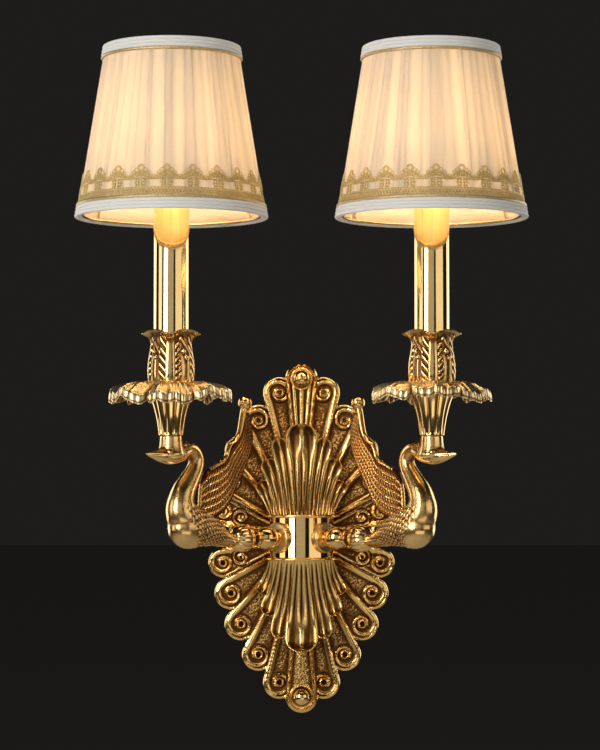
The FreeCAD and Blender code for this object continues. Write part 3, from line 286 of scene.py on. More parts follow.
def petal_height(x, z, lobe, pierced):
    """Height off the wall of a volute petal, and how sandy it is; its eye is pierced or domed."""
    u, v, reach, edge = petal_place(x, z, lobe)
    radius = lobe[2]
    size = radius / 13.5
    face = petal_face(u, reach)
    ring = radius - 3.3 * size
    start = 1.6 - (ROOT_HALF + (BEAD_ROOT - PETAL_ROOT) / (reach - PETAL_ROOT) * (radius - ROOT_HALF))
    path = [(BEAD_ROOT + (reach - BEAD_ROOT) * t, start + (-ring - start) * t) for t in (0, 0.25, 0.5, 0.75)]
    for i in range(45):
        t = i / 44
        turn = math.radians(-90 + 400 * t)
        reachout = ring - (ring - 4.3 * size) * max(0.0, (t - 0.12) / 0.88) ** 0.9
        path.append((reach + reachout * math.cos(turn), reachout * math.sin(turn)))
    distance, side, along = nearest_on_path(path, u, v)
    inward = side > 0
    flank = np.where(inward, np.where(along < 0.12, 3.2, 2.4) * size, 1.5)
    crest = np.clip(1 - distance / flank, 0, 1)
    bead = np.where(inward, crest ** 0.8, crest ** 0.6) * (1.9 + 0.7 * along)
    roll = -2.0 * (1 - np.sqrt(1 - np.clip(1 - edge / 1.9, 0, 1) ** 2))
    sunk = -1.5 * smoothstep(1.6, 2.6, edge)
    field = smoothstep(2.0, 3.2, edge) * (distance > flank) * (np.hypot(u - reach, v) > ring + 0.5)
    height = face + roll + sunk + bead
    # the eye: a ring round a pit or a dome, with fine arcs round it on the inner side
    off = np.hypot(u - reach, v)
    inner_side = smoothstep(-2, 3, (reach - u))
    arcs = 0.32 * np.cos(off * 2 * math.pi / 1.9) * smoothstep(3.2, 4.2, off)
    arcs = arcs * (1 - smoothstep(8.5, 10, off))
    height += arcs * inner_side * size
    ring_crest = np.clip(1 - np.abs(off - 2.9 * size) / (1.3 * size), 0, 1) ** 0.7
    height = np.where(off < 4.2 * size, face - 0.6 + 2.2 * ring_crest, height)
    pit = np.clip(1 - off / (2.0 * size), 0, 1) ** 0.5
    height = np.where(off < 2.0 * size, face - 0.6 - np.where(pierced, 3.2, -0.7) * pit, height)
    return height, field


def end_height(x, z, upper):
    """Top or bottom petal: a U bead round the ball nut, with three reeds or a broad tongue."""
    u, v, reach, edge = petal_place(x, z, END_LOBE)
    face = petal_face(u, reach)
    roll = -2.0 * (1 - np.sqrt(1 - np.clip(1 - edge / 2.0, 0, 1) ** 2))
    bead = 1.5 * np.clip(1 - (np.abs(edge - 2.9) / 1.5) ** 2, 0, 1) ** 0.6
    height = face + roll - 1.5 * smoothstep(2.2, 3.4, edge) + bead
    across = np.abs(v)
    off = np.hypot(u - reach, v)
    if upper:
        spread = 0.55 + 0.45 * (u - 84) / 36
        for middle in (0.0, 6.2):
            reed = np.clip(1 - ((across - middle * spread) / 1.9) ** 2, 0, 1) ** 0.5
            height = height + 1.7 * reed * (u < reach - 5.5) * smoothstep(3.2, 4.4, edge)
        seat = 7.6
        field = smoothstep(3.5, 4.5, edge) * 0.3
    else:
        tongue = np.clip(1 - (across / (2.2 + 7.0 * smoothstep(70, 122, u))) ** 2, 0, 1) ** 0.5
        height = height + 1.6 * tongue * (u < reach - 3) * smoothstep(3.2, 5.2, edge)
        seat = 8.4
        field = tongue * (u < reach - 6)
    cup = np.clip(off / seat, 0, 1)
    height = np.where(off < seat, FACE_LOBE - 1.2 + 1.0 * cup ** 6, height)
    rim = np.clip(1 - ((off - seat - 0.6) / 1.1) ** 2, 0, 1) ** 0.5
    rimmed = np.maximum(height, FACE_LOBE - 0.6 + 1.1 * rim)
    height = np.where((off > seat - 0.5) & (edge > 3), rimmed, height)
    return height, field * (off > seat)


def core_edge(ax, az):
    """Above 0 inside the flat lozenge that the petals grow from."""
    return 1 - (ax / 30.0 + az / 60.0)


def plate_front(x, z):
    """Front height off the wall, and how sandy it is."""
    ax, az = np.abs(x), np.abs(z)
    height, field = np.full(x.shape, FACE_ROOT), np.zeros(x.shape)
    owned = np.zeros(x.shape, dtype=bool)
    layers_and_valley_shade = [END_LOBE] + LOBES[:3] + [INNER_SCROLL] + LOBES[3:]
    for lobe in layers_and_valley_shade:
        edge = petal_place(ax, az, lobe)[3]
        mine = (edge > 0) & ~owned
        if lobe is END_LOBE:
            top, top_field = end_height(ax, az, True)
            low, low_field = end_height(ax, az, False)
            new, sandy = np.where(z > 0, top, low), np.where(z > 0, top_field, low_field)
        else:
            new, sandy = petal_height(ax, az, lobe, z <= 0)
        height, field = np.where(mine, new, height), np.where(mine, sandy, field)
        owned |= mine
    flat = smoothstep(-0.12, 0.05, core_edge(ax, az))
    height = np.where(~owned & (ax > 20), 7.0 + 1.2 * np.abs(np.sin(ax * 0.55)), height)
    return height * (1 - flat) + FACE_ROOT * flat, field * (1 - flat)


def plate_back(x, z):
    """Depth of the hollow back: a shallow tray, a deeper middle and the strap's channel."""
    ax, az = np.abs(x), np.abs(z)
    tray = 112.7 - np.hypot(ax * 1.55, az) - 6.0 * np.abs(np.sin(np.arctan2(az, ax) * 6))
    depth = 4.0 * smoothstep(0, 1.5, tray)
    depth = np.maximum(depth, 8.4 * smoothstep(0, 1.5, 52 - np.hypot(ax * 1.9, az)))
    return np.maximum(depth, 3.1 * ((ax < 9.7) & (az < 137.5)))


WAIST_WIDE, WAIST_HIGH = 60.0, 15.0
JOINED_SHARE = 0.92


def outline_only(x, z):
    """Above 0 inside the plate's outline, about the distance to it in millimetres."""
    ax, az = np.abs(x), np.abs(z)
    inside = np.maximum(core_edge(ax, az) * 25, np.minimum(WAIST_WIDE - ax, WAIST_HIGH - az))
    # one sheet of metal joins the petals nearly as far as their lobes' centres
    centres = np.array([(WAIST_WIDE, 0.0)] + [lobe[:2] for lobe in LOBES[::-1]] + [END_LOBE[:2]])
    directions = np.arctan2(centres[:, 1], centres[:, 0])
    joined_reach = np.interp(np.arctan2(az, ax), directions, np.hypot(*centres.T))
    inside = np.maximum(inside, JOINED_SHARE * joined_reach - np.hypot(ax, az))
    for lobe in [END_LOBE, INNER_SCROLL] + LOBES:
        inside = np.maximum(inside, petal_place(ax, az, lobe)[3])
    return inside


def snap_to_outline(x, z, rim):
    """Move the rim's points most of the way onto the outline, in place."""
    here = outline_only(x[rim], z[rim])
    slope_x = (outline_only(x[rim] + 0.2, z[rim]) - outline_only(x[rim] - 0.2, z[rim])) / 0.4
    slope_z = (outline_only(x[rim], z[rim] + 0.2) - outline_only(x[rim], z[rim] - 0.2)) / 0.4
    move = np.clip(here, -0.8, 0.8) / np.maximum(slope_x ** 2 + slope_z ** 2, 0.25)
    x[rim] -= move * slope_x * 0.8
    z[rim] -= move * slope_z * 0.8


PLATE_CELL = 0.8


def plate_mesh():
    """Points and faces of the plate, cut out of a grid of cells, and how sandy each point is."""
    xs = PLATE_CELL * np.arange(-100, 101)
    zs = PLATE_CELL * np.arange(-184, 185)
    x, z = [grid.ravel() for grid in np.meshgrid(xs, zs)]
    inside = outline_only(x, z)
    wide = len(xs)
    index = np.arange(len(x)).reshape(len(zs), wide)
    corners = np.stack([index[:-1, :-1], index[:-1, 1:], index[1:, 1:], index[1:, :-1]], -1).reshape(-1, 4)
    kept = corners[inside[corners].mean(1) > 0]
    pairs = np.concatenate([kept[:, [0, 1]], kept[:, [1, 2]], kept[:, [2, 3]], kept[:, [3, 0]]])
    key = pairs.min(1).astype(np.int64) * len(x) + pairs.max(1)
    unique, first, shared = np.unique(key, return_index=True, return_counts=True)
    border = pairs[first[shared == 1]]
    # border points go onto the outline
    rim = np.unique(border)
    for _ in range(3):
        snap_to_outline(x, z, rim)
    # even the border out along itself, then put it back on the outline
    for _ in range(4):
        near = [np.bincount(border.ravel(), values[border[:, ::-1]].ravel(), len(x)) for values in (x, z)]
        uses = np.maximum(np.bincount(border.ravel(), minlength=len(x)), 1)
        x[rim] += 0.5 * (near[0] / uses - x)[rim]
        z[rim] += 0.5 * (near[1] / uses - z)[rim]
        snap_to_outline(x, z, rim)
    # even the cells beside the border, so that the rolled rim shades smoothly
    ends = np.stack([unique // len(x), unique % len(x)], 1)
    fixed = np.zeros(len(x), dtype=bool)
    fixed[rim] = True
    loose = (outline_only(x, z) < 4.0) & ~fixed
    ties = np.maximum(np.bincount(ends.ravel(), minlength=len(x)), 1)
    for _ in range(10):
        for values in (x, z):
            total = (np.bincount(ends[:, 0], values[ends[:, 1]], len(x))
                     + np.bincount(ends[:, 1], values[ends[:, 0]], len(x)))
            values[loose] += 0.5 * (total / ties - values)[loose]
    used = np.unique(kept)
    number = np.full(len(x), -1)
    number[used] = np.arange(len(used))
    ux, uz = x[used], z[used]
    height, field = plate_front(ux, uz)
    grain = np.random.default_rng(5).normal(0, 1, len(ux))
    height = height + 0.13 * field * np.clip(grain, -2, 2)
    height[number[rim]] = np.maximum(height[number[rim]], RIM_FACE)
    depth = plate_back(ux, uz)
    depth[number[rim]] = 0.0
    depth = np.minimum(depth, height - 1.8)
    count = len(used)
    points = np.concatenate([np.stack([ux, -height, uz], 1), np.stack([ux, -depth, uz], 1)])
    front = number[kept]
    back = front[:, ::-1] + count
    walls = np.stack([number[border[:, 1]], number[border[:, 0]], number[border[:, 0]] + count,
                      number[border[:, 1]] + count], 1)
    faces = np.concatenate([front, back, walls]).tolist()
    return points, faces, np.concatenate([field, np.zeros(count)])


plate_points, plate_faces, plate_sand = plate_mesh()
plate_finish = aged_gilt("gilt_plate", sand=0.9)
cast_piece("wall_plate_casting", plate_points, plate_faces, plate_finish, stands_for=["wall_plate"],
           marks={"sand": plate_sand}, sharp=55)

# ---------------------------------------------------------------- ball nuts
# A ball on a short neck screws onto each of the strap's studs and holds the plate to the wall.
def polished_brass(name, rough, colour=(0.96, 0.68, 0.30), ripple=0.12, smudge=0.10):
    """Lacquered, mirror polished brass with faint buffing ripples and smudges."""
    finish, nodes, links, shader = new_finish(name)
    shader.inputs["Metallic"].default_value = 1.0
    place = object_place(nodes)
    smear = noise_value(nodes, links, place, 38.0, 5.0)
    colours_to(nodes, links, smear, [(0.35, grey(rough)), (0.75, grey(rough + smudge))],
               shader.inputs["Roughness"])
    warm = tuple(c * k for c, k in zip(colour, (0.93, 0.84, 0.70)))
    colours_to(nodes, links, smear, [(0.3, colour), (0.8, warm)], shader.inputs["Base Color"])
    ripples = noise_bump(nodes, links, place, 70.0, 0.0004, ripple, None, 2.0)
    links.new(ripples.outputs["Normal"], shader.inputs["Normal"])
    return finish


def lathe(profile, around):
    """Closed turning about z from (radius, height) pairs that start and end on the axis or meet."""
    profile = np.asarray(profile, dtype=float)
    turns = even_turns(around)
    closed = profile[0][0] > 1e-6
    rows = []
    for radius, height in profile:
        if radius <= 1e-6:
            rows.append([(0.0, 0.0, height)])
        else:
            rows.append([(radius * math.cos(t), radius * math.sin(t), height) for t in turns])
    starts = np.cumsum([0] + [len(r) for r in rows])
    faces = []
    steps = len(rows) if closed else len(rows) - 1
    for i in range(steps):
        j = (i + 1) % len(rows)
        here, next_row = len(rows[i]) > 1, len(rows[j]) > 1
        for k in range(around):
            n = (k + 1) % around
            corner = [starts[i] + k * here, starts[i] + n * here,
                      starts[j] + n * next_row, starts[j] + k * next_row]
            faces.append([p for m, p in enumerate(corner) if p not in corner[:m]])
    return np.array([p for row in rows for p in row]), faces


def curve_through(points, per):
    """Smooth line through points, with its ends kept."""
    points = np.asarray(points, dtype=float)
    padded = np.vstack([2 * points[0] - points[1], points, 2 * points[-1] - points[-2]])
    out = []
    for i in range(1, len(padded) - 2):
        p0, p1, p2, p3 = padded[i - 1:i + 3]
        for k in range(per):
            t = k / per
            out.append(0.5 * (2 * p1 + (p2 - p0) * t + (2 * p0 - 5 * p1 + 4 * p2 - p3) * t ** 2
                              + (3 * p1 - p0 - 3 * p2 + p3) * t ** 3))
    return np.array(out + [points[-1]])


def ball_profile(radius, centre, start, end, steps=20):
    """Part of a ball for the lathe, between two angles from its equator."""
    turns = [math.radians(start + (end - start) * i / steps) for i in range(steps + 1)]
    return [(radius * math.cos(t), centre + radius * math.sin(t)) for t in turns]


nut_finish = polished_brass("ball_nut_brass", rough=0.10)
BALL_RADIUS, BALL_NECK = 6.6, 4.6
ball_rise = ball_profile(BALL_RADIUS, 6.2, -46, 90)
ball_rise[-1] = (0.0, ball_rise[-1][1])
nut_points, nut_faces = lathe([(0, 0), (BALL_NECK, 0), (BALL_NECK, 0.6), (BALL_NECK, 1.2)] + ball_rise, 48)
for name, height in (("top_ball_nut", END_LOBE[1]), ("bottom_ball_nut", -END_LOBE[1])):
    placed = np.stack([nut_points[:, 0], -(nut_points[:, 2] + FACE_LOBE), nut_points[:, 1] + height], 1)
    cast_piece(name + "_turning", placed, nut_faces, nut_finish, stands_for=[name], slot="polished_brass",
               gain=0)

# ---------------------------------------------------------------- centre drum
# Half of a turned brass tube, mirror polished. It lies on the plate between the two leaves and
# carries both arms.
DRUM_AXIS = -12.0


def half_turning(profile, steps=96):
    """A closed profile of (radius, height) swept through the half circle that faces the room."""
    turns = np.linspace(math.pi, 2 * math.pi, steps + 1)
    points = [(r * math.cos(t), DRUM_AXIS + r * math.sin(t), h) for t in turns for r, h in profile]
    n = len(profile)
    faces = [[i * n + k, (i + 1) * n + k, (i + 1) * n + (k + 1) % n, i * n + (k + 1) % n]
             for i in range(steps) for k in range(n)]
    faces += [list(range(n)), list(range(steps * n + n - 1, steps * n - 1, -1))]
    return np.array(points), faces


drum_finish = polished_brass("drum_brass", rough=0.045, ripple=0.05, smudge=0.05)
drum_points, drum_faces = half_turning([(24.2, -16.5), (26.2, -16.5), (26.5, -16.2), (26.5, 16.2),
                                        (26.2, 16.5), (24.2, 16.5)])
cast_piece("drum_shell", drum_points, drum_faces, drum_finish, stands_for=["centre_drum"],
           slot="polished_brass", sharp=35, gain=0)

# ---------------------------------------------------------------- acanthus leaves
# One casting above the drum and one below: seven overlapping fingers, each fluted down to the lip,
# with cupped tips that curl towards the room. The flat lip closes the drum's end.
LEAF_LIP, ROOT_ROUND = 18.7, 29.0


def grid_shell(top, bottom):
    """Closed shell between two grids of points of the same shape, rows by columns."""
    rows, columns = top.shape[:2]
    top_index = np.arange(rows * columns).reshape(rows, columns)
    low_index = top_index + rows * columns
    faces = []
    for index, turned in ((top_index, False), (low_index, True)):
        quads = np.stack([index[:-1, :-1], index[:-1, 1:], index[1:, 1:], index[1:, :-1]], -1).reshape(-1, 4)
        faces += (quads[:, ::-1] if turned else quads).tolist()
    loop = ([(0, c) for c in range(columns - 1)] + [(r, columns - 1) for r in range(rows - 1)]
            + [(rows - 1, c) for c in range(columns - 1, 0, -1)] + [(r, 0) for r in range(rows - 1, 0, -1)])
    for a, b in zip(loop, loop[1:] + loop[:1]):
        faces.append([int(top_index[b]), int(top_index[a]), int(low_index[a]), int(low_index[b])])
    return np.concatenate([top.reshape(-1, 3), bottom.reshape(-1, 3)]), faces


def leaf_finger(root_x, tip_x, tip_z, root_half, belly_half, tip_depth, flutes, cup, curl, hood=1.0):
    """One finger, in the leaf's own place: x across, z up, and y towards the room is negative."""
    lean = 1.65
    along = np.linspace(0, 1, 40) ** 0.85
    along = np.concatenate([along[:-1] * 0.86, 1 - 0.14 * np.linspace(1, 0, 18) ** 1.6])
    across = np.linspace(-1, 1, max(flutes * 8, 16) + 1)
    root_depth = math.sqrt(ROOT_ROUND ** 2 - root_x ** 2)
    s = along[:, None]
    q = across[None, :]
    z_line = LEAF_LIP - 1.0 + (tip_z - LEAF_LIP + 1.0) * s
    x_line = root_x + (tip_x - root_x) * s ** lean
    depth = tip_depth + (root_depth - tip_depth) * (1 - s) ** 2 + curl * s ** 7
    slope_x = lean * (tip_x - root_x) * np.maximum(s, 0.02) ** (lean - 1)
    slope_z = np.full_like(slope_x, tip_z - LEAF_LIP)
    size = np.hypot(slope_x, slope_z)
    ux, uz = slope_z / size, -slope_x / size
    swell = root_half + (belly_half - root_half) * smoothstep(-0.1, 0.8, s)
    end = np.clip((s - 0.84) / 0.16, 0, 1)
    half = swell * np.sqrt(np.maximum(1 - end ** 2.4, 0.0004))
    lay = math.asin(root_x / ROOT_ROUND) * (1 - s) ** 1.3
    x = x_line + half * q * ux * np.cos(lay)
    z = z_line + half * q * uz
    d = depth - half * q * np.sin(lay)
    tip = smoothstep(0.55, 0.86, s)
    rim = np.maximum(smoothstep(0.62, 1.0, np.abs(q)), smoothstep(0.93, 1.0, s))
    flute = np.abs(np.sin(math.pi * flutes * (q + 1) / 2)) ** 0.8
    ripple = 1.25 * (flute - 0.6) * smoothstep(0.0, 0.08, s) * (1 - 0.85 * tip)
    bowl = -cup * np.sin(math.pi * np.clip(np.abs(q) * 1.15, 0, 1)) ** 2 * tip
    rib = 0.9 * np.clip(1 - np.abs(q) / 0.16, 0, 1) ** 0.5 * tip * (1 - smoothstep(0.90, 0.97, s))
    lift = hood * (1.6 * rim * tip + 1.5 * smoothstep(0.88, 1.0, s))
    crown = -0.5 * q ** 2 - 1.6 * np.abs(q) ** 9
    relief = ripple + bowl + rib + lift + crown
    under = -2.4 + 1.7 * q ** 4 - 0.6 * q ** 2 + 0.5 * lift + 0.55 * bowl
    under = np.where(np.abs(q) >= 1, relief - 0.35, np.minimum(under, relief - 0.35))
    normal_x, normal_d = np.sin(lay), np.cos(lay)

    def grid(rise):
        return np.stack([x + rise * normal_x, DRUM_AXIS - (d + rise * normal_d), z + 0 * rise], -1)

    return grid_shell(grid(relief), grid(under))


def joined(parts):
    """Several closed shells as one casting."""
    points, faces, start = [], [], 0
    for part_points, part_faces in parts:
        points.append(part_points)
        faces += [[i + start for i in face] for face in part_faces]
        start += len(part_points)
    return np.concatenate(points), faces


def mirrored_piece(points, faces, axis=0):
    """The mirror image, with its faces turned so that they still look outwards."""
    flipped = points.copy()
    flipped[:, axis] *= -1
    return flipped, [face[::-1] for face in faces]


def leaf_backing(tip_z):
    """The leaf's body behind the fingers, which fills the gaps between their flutes."""
    s = np.linspace(0, 1, 30)[:, None]
    q = np.linspace(-1, 1, 49)[None, :]
    half = 27.5 - 4.0 * s - 19.0 * s ** 2.2
    z = LEAF_LIP - 1.0 + (tip_z - LEAF_LIP) * s + 0 * q
    round_root = np.sqrt(np.maximum(27.6 ** 2 - (half * q) ** 2, 1.0))
    flat_top = 5.5 - 2.0 * q ** 2
    d = round_root * (1 - s) ** 2.1 + flat_top * (1 - (1 - s) ** 2.1)
    groove = 0.5 * np.abs(np.sin(math.pi * 11 * (q + 1) / 2))
    x = half * q + 0 * s
    top = np.stack([x, DRUM_AXIS - d - groove, z], -1)
    low = np.stack([x, DRUM_AXIS - np.maximum(d - 3.0, 1.0), z], -1)
    return grid_shell(top, low)


def acanthus_leaf(tips, centre_half):
    """tips: root x, tip x, tip z, half width at root and belly, and depth at tip of each right finger."""
    parts = [leaf_backing(70.0)]
    for tip in reversed(tips):
        right = leaf_finger(*tip, 3, 0.9, 3.2)
        parts += [right, mirrored_piece(*right)]
    parts.append(leaf_finger(0.0, 0.0, 93.5, 6.6, centre_half, 10.0, 4, 1.5, 4.4, 1.8))
    lip = half_turning([(5.0, 16.55), (31.2, 16.55), (31.8, 16.9), (32.0, 17.7), (31.7, 18.4), (31.0, 18.7),
                        (5.0, 18.7)], 72)
    return joined(parts + [lip])


leaf_finish = aged_gilt("gilt_leaf", dark=(0.23, 0.10, 0.026), shine=0.17, dull=0.42, sand=0.5)
UPPER_TIPS = [(10.4, 19.4, 82.0, 5.4, 7.6, 8.0), (18.0, 28.6, 64.5, 5.2, 7.6, 5.5),
              (25.0, 34.0, 46.0, 4.6, 6.4, 3.8)]
LOWER_TIPS = [(10.4, 19.6, 82.5, 5.4, 7.8, 8.0), (18.0, 28.4, 64.0, 5.2, 7.8, 5.5),
              (25.0, 33.0, 46.5, 4.6, 6.2, 3.8)]
leaves = {"upper": acanthus_leaf(UPPER_TIPS, 13.0),
          "lower": mirrored_piece(*acanthus_leaf(LOWER_TIPS, 13.4), axis=2)}
for end, leaf in leaves.items():
    cast_piece("acanthus_" + end + "_casting", *leaf, leaf_finish, stands_for=["acanthus_leaf_" + end],
               sharp=70, gain=0.5)

# ---------------------------------------------------------------- arm turnings
# Between the drum and each swan: a disc hollowed to sit on the drum, then a ball on a stepped foot
# with a short neck. All turned brass, threaded on the tie rod.
SLANT = math.sqrt(0.5)


def on_right_arm(points):
    """From (along the arm, sideways, up) to the right arm's place, 45 degrees off the wall."""
    s, n, z = np.asarray(points, dtype=float).T
    return np.stack([(s + n) * SLANT, DRUM_AXIS + (n - s) * SLANT, z], 1)


def both_arms(name, points, faces, finish, node, **kept):
    """The piece on the right arm, and its mirror image on the left one."""
    right = on_right_arm(points)
    cast_piece("right_" + name, right, faces, finish, stands_for=["right_" + node] if node else (), **kept)
    cast_piece("left_" + name, *mirrored_piece(right, faces), finish,
               stands_for=["left_" + node] if node else (), **kept)


def turned_on_arm(profile, around=64):
    """Turning about the arm's own line, as (along, sideways, up)."""
    points, faces = lathe(profile, around)
    return np.stack([points[:, 2], points[:, 0], points[:, 1]], 1), faces


arm_finish = polished_brass("arm_turning_brass", colour=(0.93, 0.62, 0.25), rough=0.08)
washer_points, washer_faces = turned_on_arm([(3.6, 25.4), (11.6, 23.8), (12.6, 24.2), (12.6, 28.6),
                                             (12.2, 29.3), (11.4, 29.6), (3.6, 29.6)])
both_arms("washer_turning", washer_points, washer_faces, polished_brass("washer_satin", rough=0.26),
          "arm_washer", slot="polished_brass", sharp=40, gain=0)
ball_points, ball_faces = turned_on_arm(
    [(3.6, 29.6), (6.4, 29.6), (6.9, 30.0), (6.9, 30.7), (6.2, 31.2), (4.9, 31.4)]
    + ball_profile(9.6, 40.0, -62, 56, 26)
    + [(5.2, 48.2), (5.0, 48.9), (5.4, 49.5), (5.4, 50.0), (3.6, 50.0)])
both_arms("ball_turning", ball_points, ball_faces, arm_finish, "arm_ball", slot="polished_brass", sharp=50,
          gain=0)

# ---------------------------------------------------------------- swans
# Each arm is a cast swan: chased tail and body, a smooth polished breast and neck, and a bowed head
# whose crown carries the candle stack. The wings stand up as one fin of rope-like feathers.
TAIL_BALL, CANDLE_REACH = 67.5, 145.0


def tube_along(places, tall, wide, around=40):
    """Closed tube square to a path in the arm's plane, from (along, up) places and half sizes."""
    places = np.asarray(places, dtype=float)
    headings = np.gradient(places, axis=0)
    headings /= np.linalg.norm(headings, axis=1)[:, None]
    turns = even_turns(around)
    points = []
    for (s, z), (hs, hz), high, broad in zip(places, headings, tall, wide):
        for t in turns:
            points.append((s - hz * high * math.sin(t), broad * math.cos(t), z + hs * high * math.sin(t)))
    points = [(places[0][0], 0.0, places[0][1])] + points + [(places[-1][0], 0.0, places[-1][1])]
    faces = [[0, 1 + (k + 1) % around, 1 + k] for k in range(around)]
    for i in range(len(places) - 1):
        a, b = 1 + i * around, 1 + (i + 1) * around
        faces += [[a + k, a + (k + 1) % around, b + (k + 1) % around, b + k] for k in range(around)]
    last = 1 + (len(places) - 1) * around
    faces += [[last + k, last + (k + 1) % around, len(points) - 1] for k in range(around)]
    return np.array(points), faces


# along, up, half height and half width, from the tail to the beak's tip
SWAN_RUN = [(72.0, -2.4, 3.4, 4.8), (79.0, -2.0, 4.4, 6.2), (90.0, 1.0, 7.2, 8.8),
            (101.0, 5.2, 10.9, 11.4), (113.0, 8.6, 14.4, 13.2), (123.5, 12.0, 15.6, 13.8),
            (130.8, 17.6, 14.6, 13.2), (134.2, 24.8, 12.7, 11.9), (134.0, 32.0, 10.4, 10.2),
            (131.2, 39.0, 9.2, 9.2), (125.6, 47.0, 7.9, 7.9), (120.2, 55.0, 6.8, 6.8),
            (118.0, 62.0, 6.2, 6.3), (120.8, 68.2, 6.2, 6.5), (128.2, 71.2, 7.0, 7.4),
            (137.8, 69.2, 8.7, 8.8), (146.8, 66.5, 7.9, 8.2), (155.4, 65.9, 5.6, 6.3),
            (162.6, 66.2, 3.3, 4.0), (168.4, 66.9, 1.6, 2.1), (172.0, 67.4, 0.3, 0.4)]
swan_line = curve_through(SWAN_RUN, 6)
swan_sizes = np.maximum(swan_line[:, 2:], 0.05)
swan_body = tube_along(swan_line[:, :2], swan_sizes[:, 0], swan_sizes[:, 1])
BREAST_ALONG, BREAST_UP, BREAST_LONG, BREAST_TALL, BREAST_WIDE = 126.5, 9.4, 17.6, 17.2, 14.6
breast_turns = np.radians(np.linspace(-88, 88, 30))
breast_places = np.stack([BREAST_ALONG + BREAST_LONG * np.sin(breast_turns),
                          BREAST_UP + 0.16 * BREAST_LONG * np.sin(breast_turns)], -1)
breast = tube_along(breast_places, BREAST_TALL * np.cos(breast_turns), BREAST_WIDE * np.cos(breast_turns))
collar_points, collar_faces = lathe([(0, 64.0), (9.8, 64.0), (11.4, 66.5), (10.2, 70.0), (9.3, 73.5),
                                     (8.9, 77.0), (8.8, 80.5), (8.5, 81.6), (7.9, 82.0), (0, 82.0)], 40)
collar_points[:, 0] += CANDLE_REACH


def cast_together(name, parts, cell, rounds):
    """Overlapping closed shells, in millimetres, melted into one smooth skin, and its normals."""
    points, faces = joined(parts)
    piece = in_scene(name, mesh_of(name, points, faces))
    melt = piece.modifiers.new("melt", "REMESH")
    melt.mode = "VOXEL"
    melt.voxel_size = cell * MM
    ease = piece.modifiers.new("ease", "SMOOTH")
    ease.factor = 0.5
    ease.iterations = rounds
    skin = bpy.data.meshes.new_from_object(piece.evaluated_get(bpy.context.evaluated_depsgraph_get()))
    bpy.data.objects.remove(piece)
    out = np.empty(len(skin.vertices) * 3)
    skin.vertices.foreach_get("co", out)
    normals = np.empty(len(skin.vertices) * 3)
    skin.vertices.foreach_get("normal", normals)
    return out.reshape(-1, 3) * 1000, [list(p.vertices) for p in skin.polygons], normals.reshape(-1, 3)


swan_points, swan_faces, swan_normals = cast_together(
    "swan", [swan_body, breast, (collar_points, collar_faces)], 0.6, 11)
along, side, up = swan_points.T
ring_turn = np.arctan2(side, up - np.interp(along, [72, 101, 124, 145], [-1, 4.2, 9.6, 14]))
chased = (1 - smoothstep(121, 130, along - 0.5 * up)) * (1 - smoothstep(23, 30, up))
chased = chased * smoothstep(88, 98, along)
row = along / 2.9
scale_turn = ring_turn * np.maximum(np.hypot(side, up - 6), 4) / 3.2 + 0.5 * np.floor(row)
lobe = np.cos(math.pi * (scale_turn - np.round(scale_turn)))
scales = chased * (0.75 * lobe * (0.3 + (row - np.floor(row))) - 0.35)
tail_ribs = (1 - smoothstep(92, 104, along)) * 0.9 * (np.abs(np.sin(ring_turn * 3.5)) - 0.6)
eye_off = np.sqrt((along - 152.5) ** 2 + (up - 69.2) ** 2)
eyes = 0.4 * np.clip(1 - eye_off / 1.3, 0, 1) ** 0.5 - 0.2 * np.clip(1 - np.abs(eye_off - 1.8) / 0.6, 0, 1)
eyes = eyes * (np.abs(side) > 2.5)
off_line = np.abs(up - 66.6 - 0.05 * (along - 158))
beak_line = -0.5 * np.clip(1 - off_line / 0.6, 0, 1) * smoothstep(156, 160, along)
swan_points = swan_points + swan_normals * (scales + tail_ribs + eyes + beak_line)[:, None]
swan_finish = aged_gilt("gilt_swan", bright=(0.98, 0.66, 0.27), dark=(0.27, 0.11, 0.028), shine=0.16,
                        dull=0.40, sand=0.5)
both_arms("swan_casting", swan_points, swan_faces, swan_finish, "swan_arm", marks={"sand": chased * 0.6},
          gain=0.8)

tail_points, tail_faces = turned_on_arm(
    [(3.6, 50.0), (5.4, 50.0), (6.2, 51.0), (6.4, 52.5), (5.2, 54.0), (4.9, 56.0)]
    + ball_profile(11.2, TAIL_BALL, -58, 62, 30) + [(4.6, 79.5), (3.6, 79.5)], 96)
tail_turn = np.arctan2(tail_points[:, 1], tail_points[:, 2])
shell = 1 - 0.055 * (1 - np.abs(np.sin(tail_turn * 6))) * smoothstep(57, 62, tail_points[:, 0])
tail_points[:, 1:] *= shell[:, None]
both_arms("tail_ball", tail_points, tail_faces, swan_finish, None, gain=0.8)

WING_TOP = [(113.0, 47.0), (108.5, 54.0), (100.4, 57.5), (92.0, 60.8), (87.6, 62.8), (83.0, 70.0),
            (75.5, 78.0), (70.6, 86.0), (68.4, 94.0), (66.2, 101.5)]
WING_FOOT = [(114.6, 15.0), (106.0, 15.0), (95.0, 18.0), (85.0, 26.0), (76.5, 40.0), (67.0, 56.0),
             (60.0, 72.0), (58.4, 88.0), (61.6, 101.5)]
ROPES, ROPE_POINTS, ROPE_LAY, WING_STEPS = 7, 8, 3.1, 200


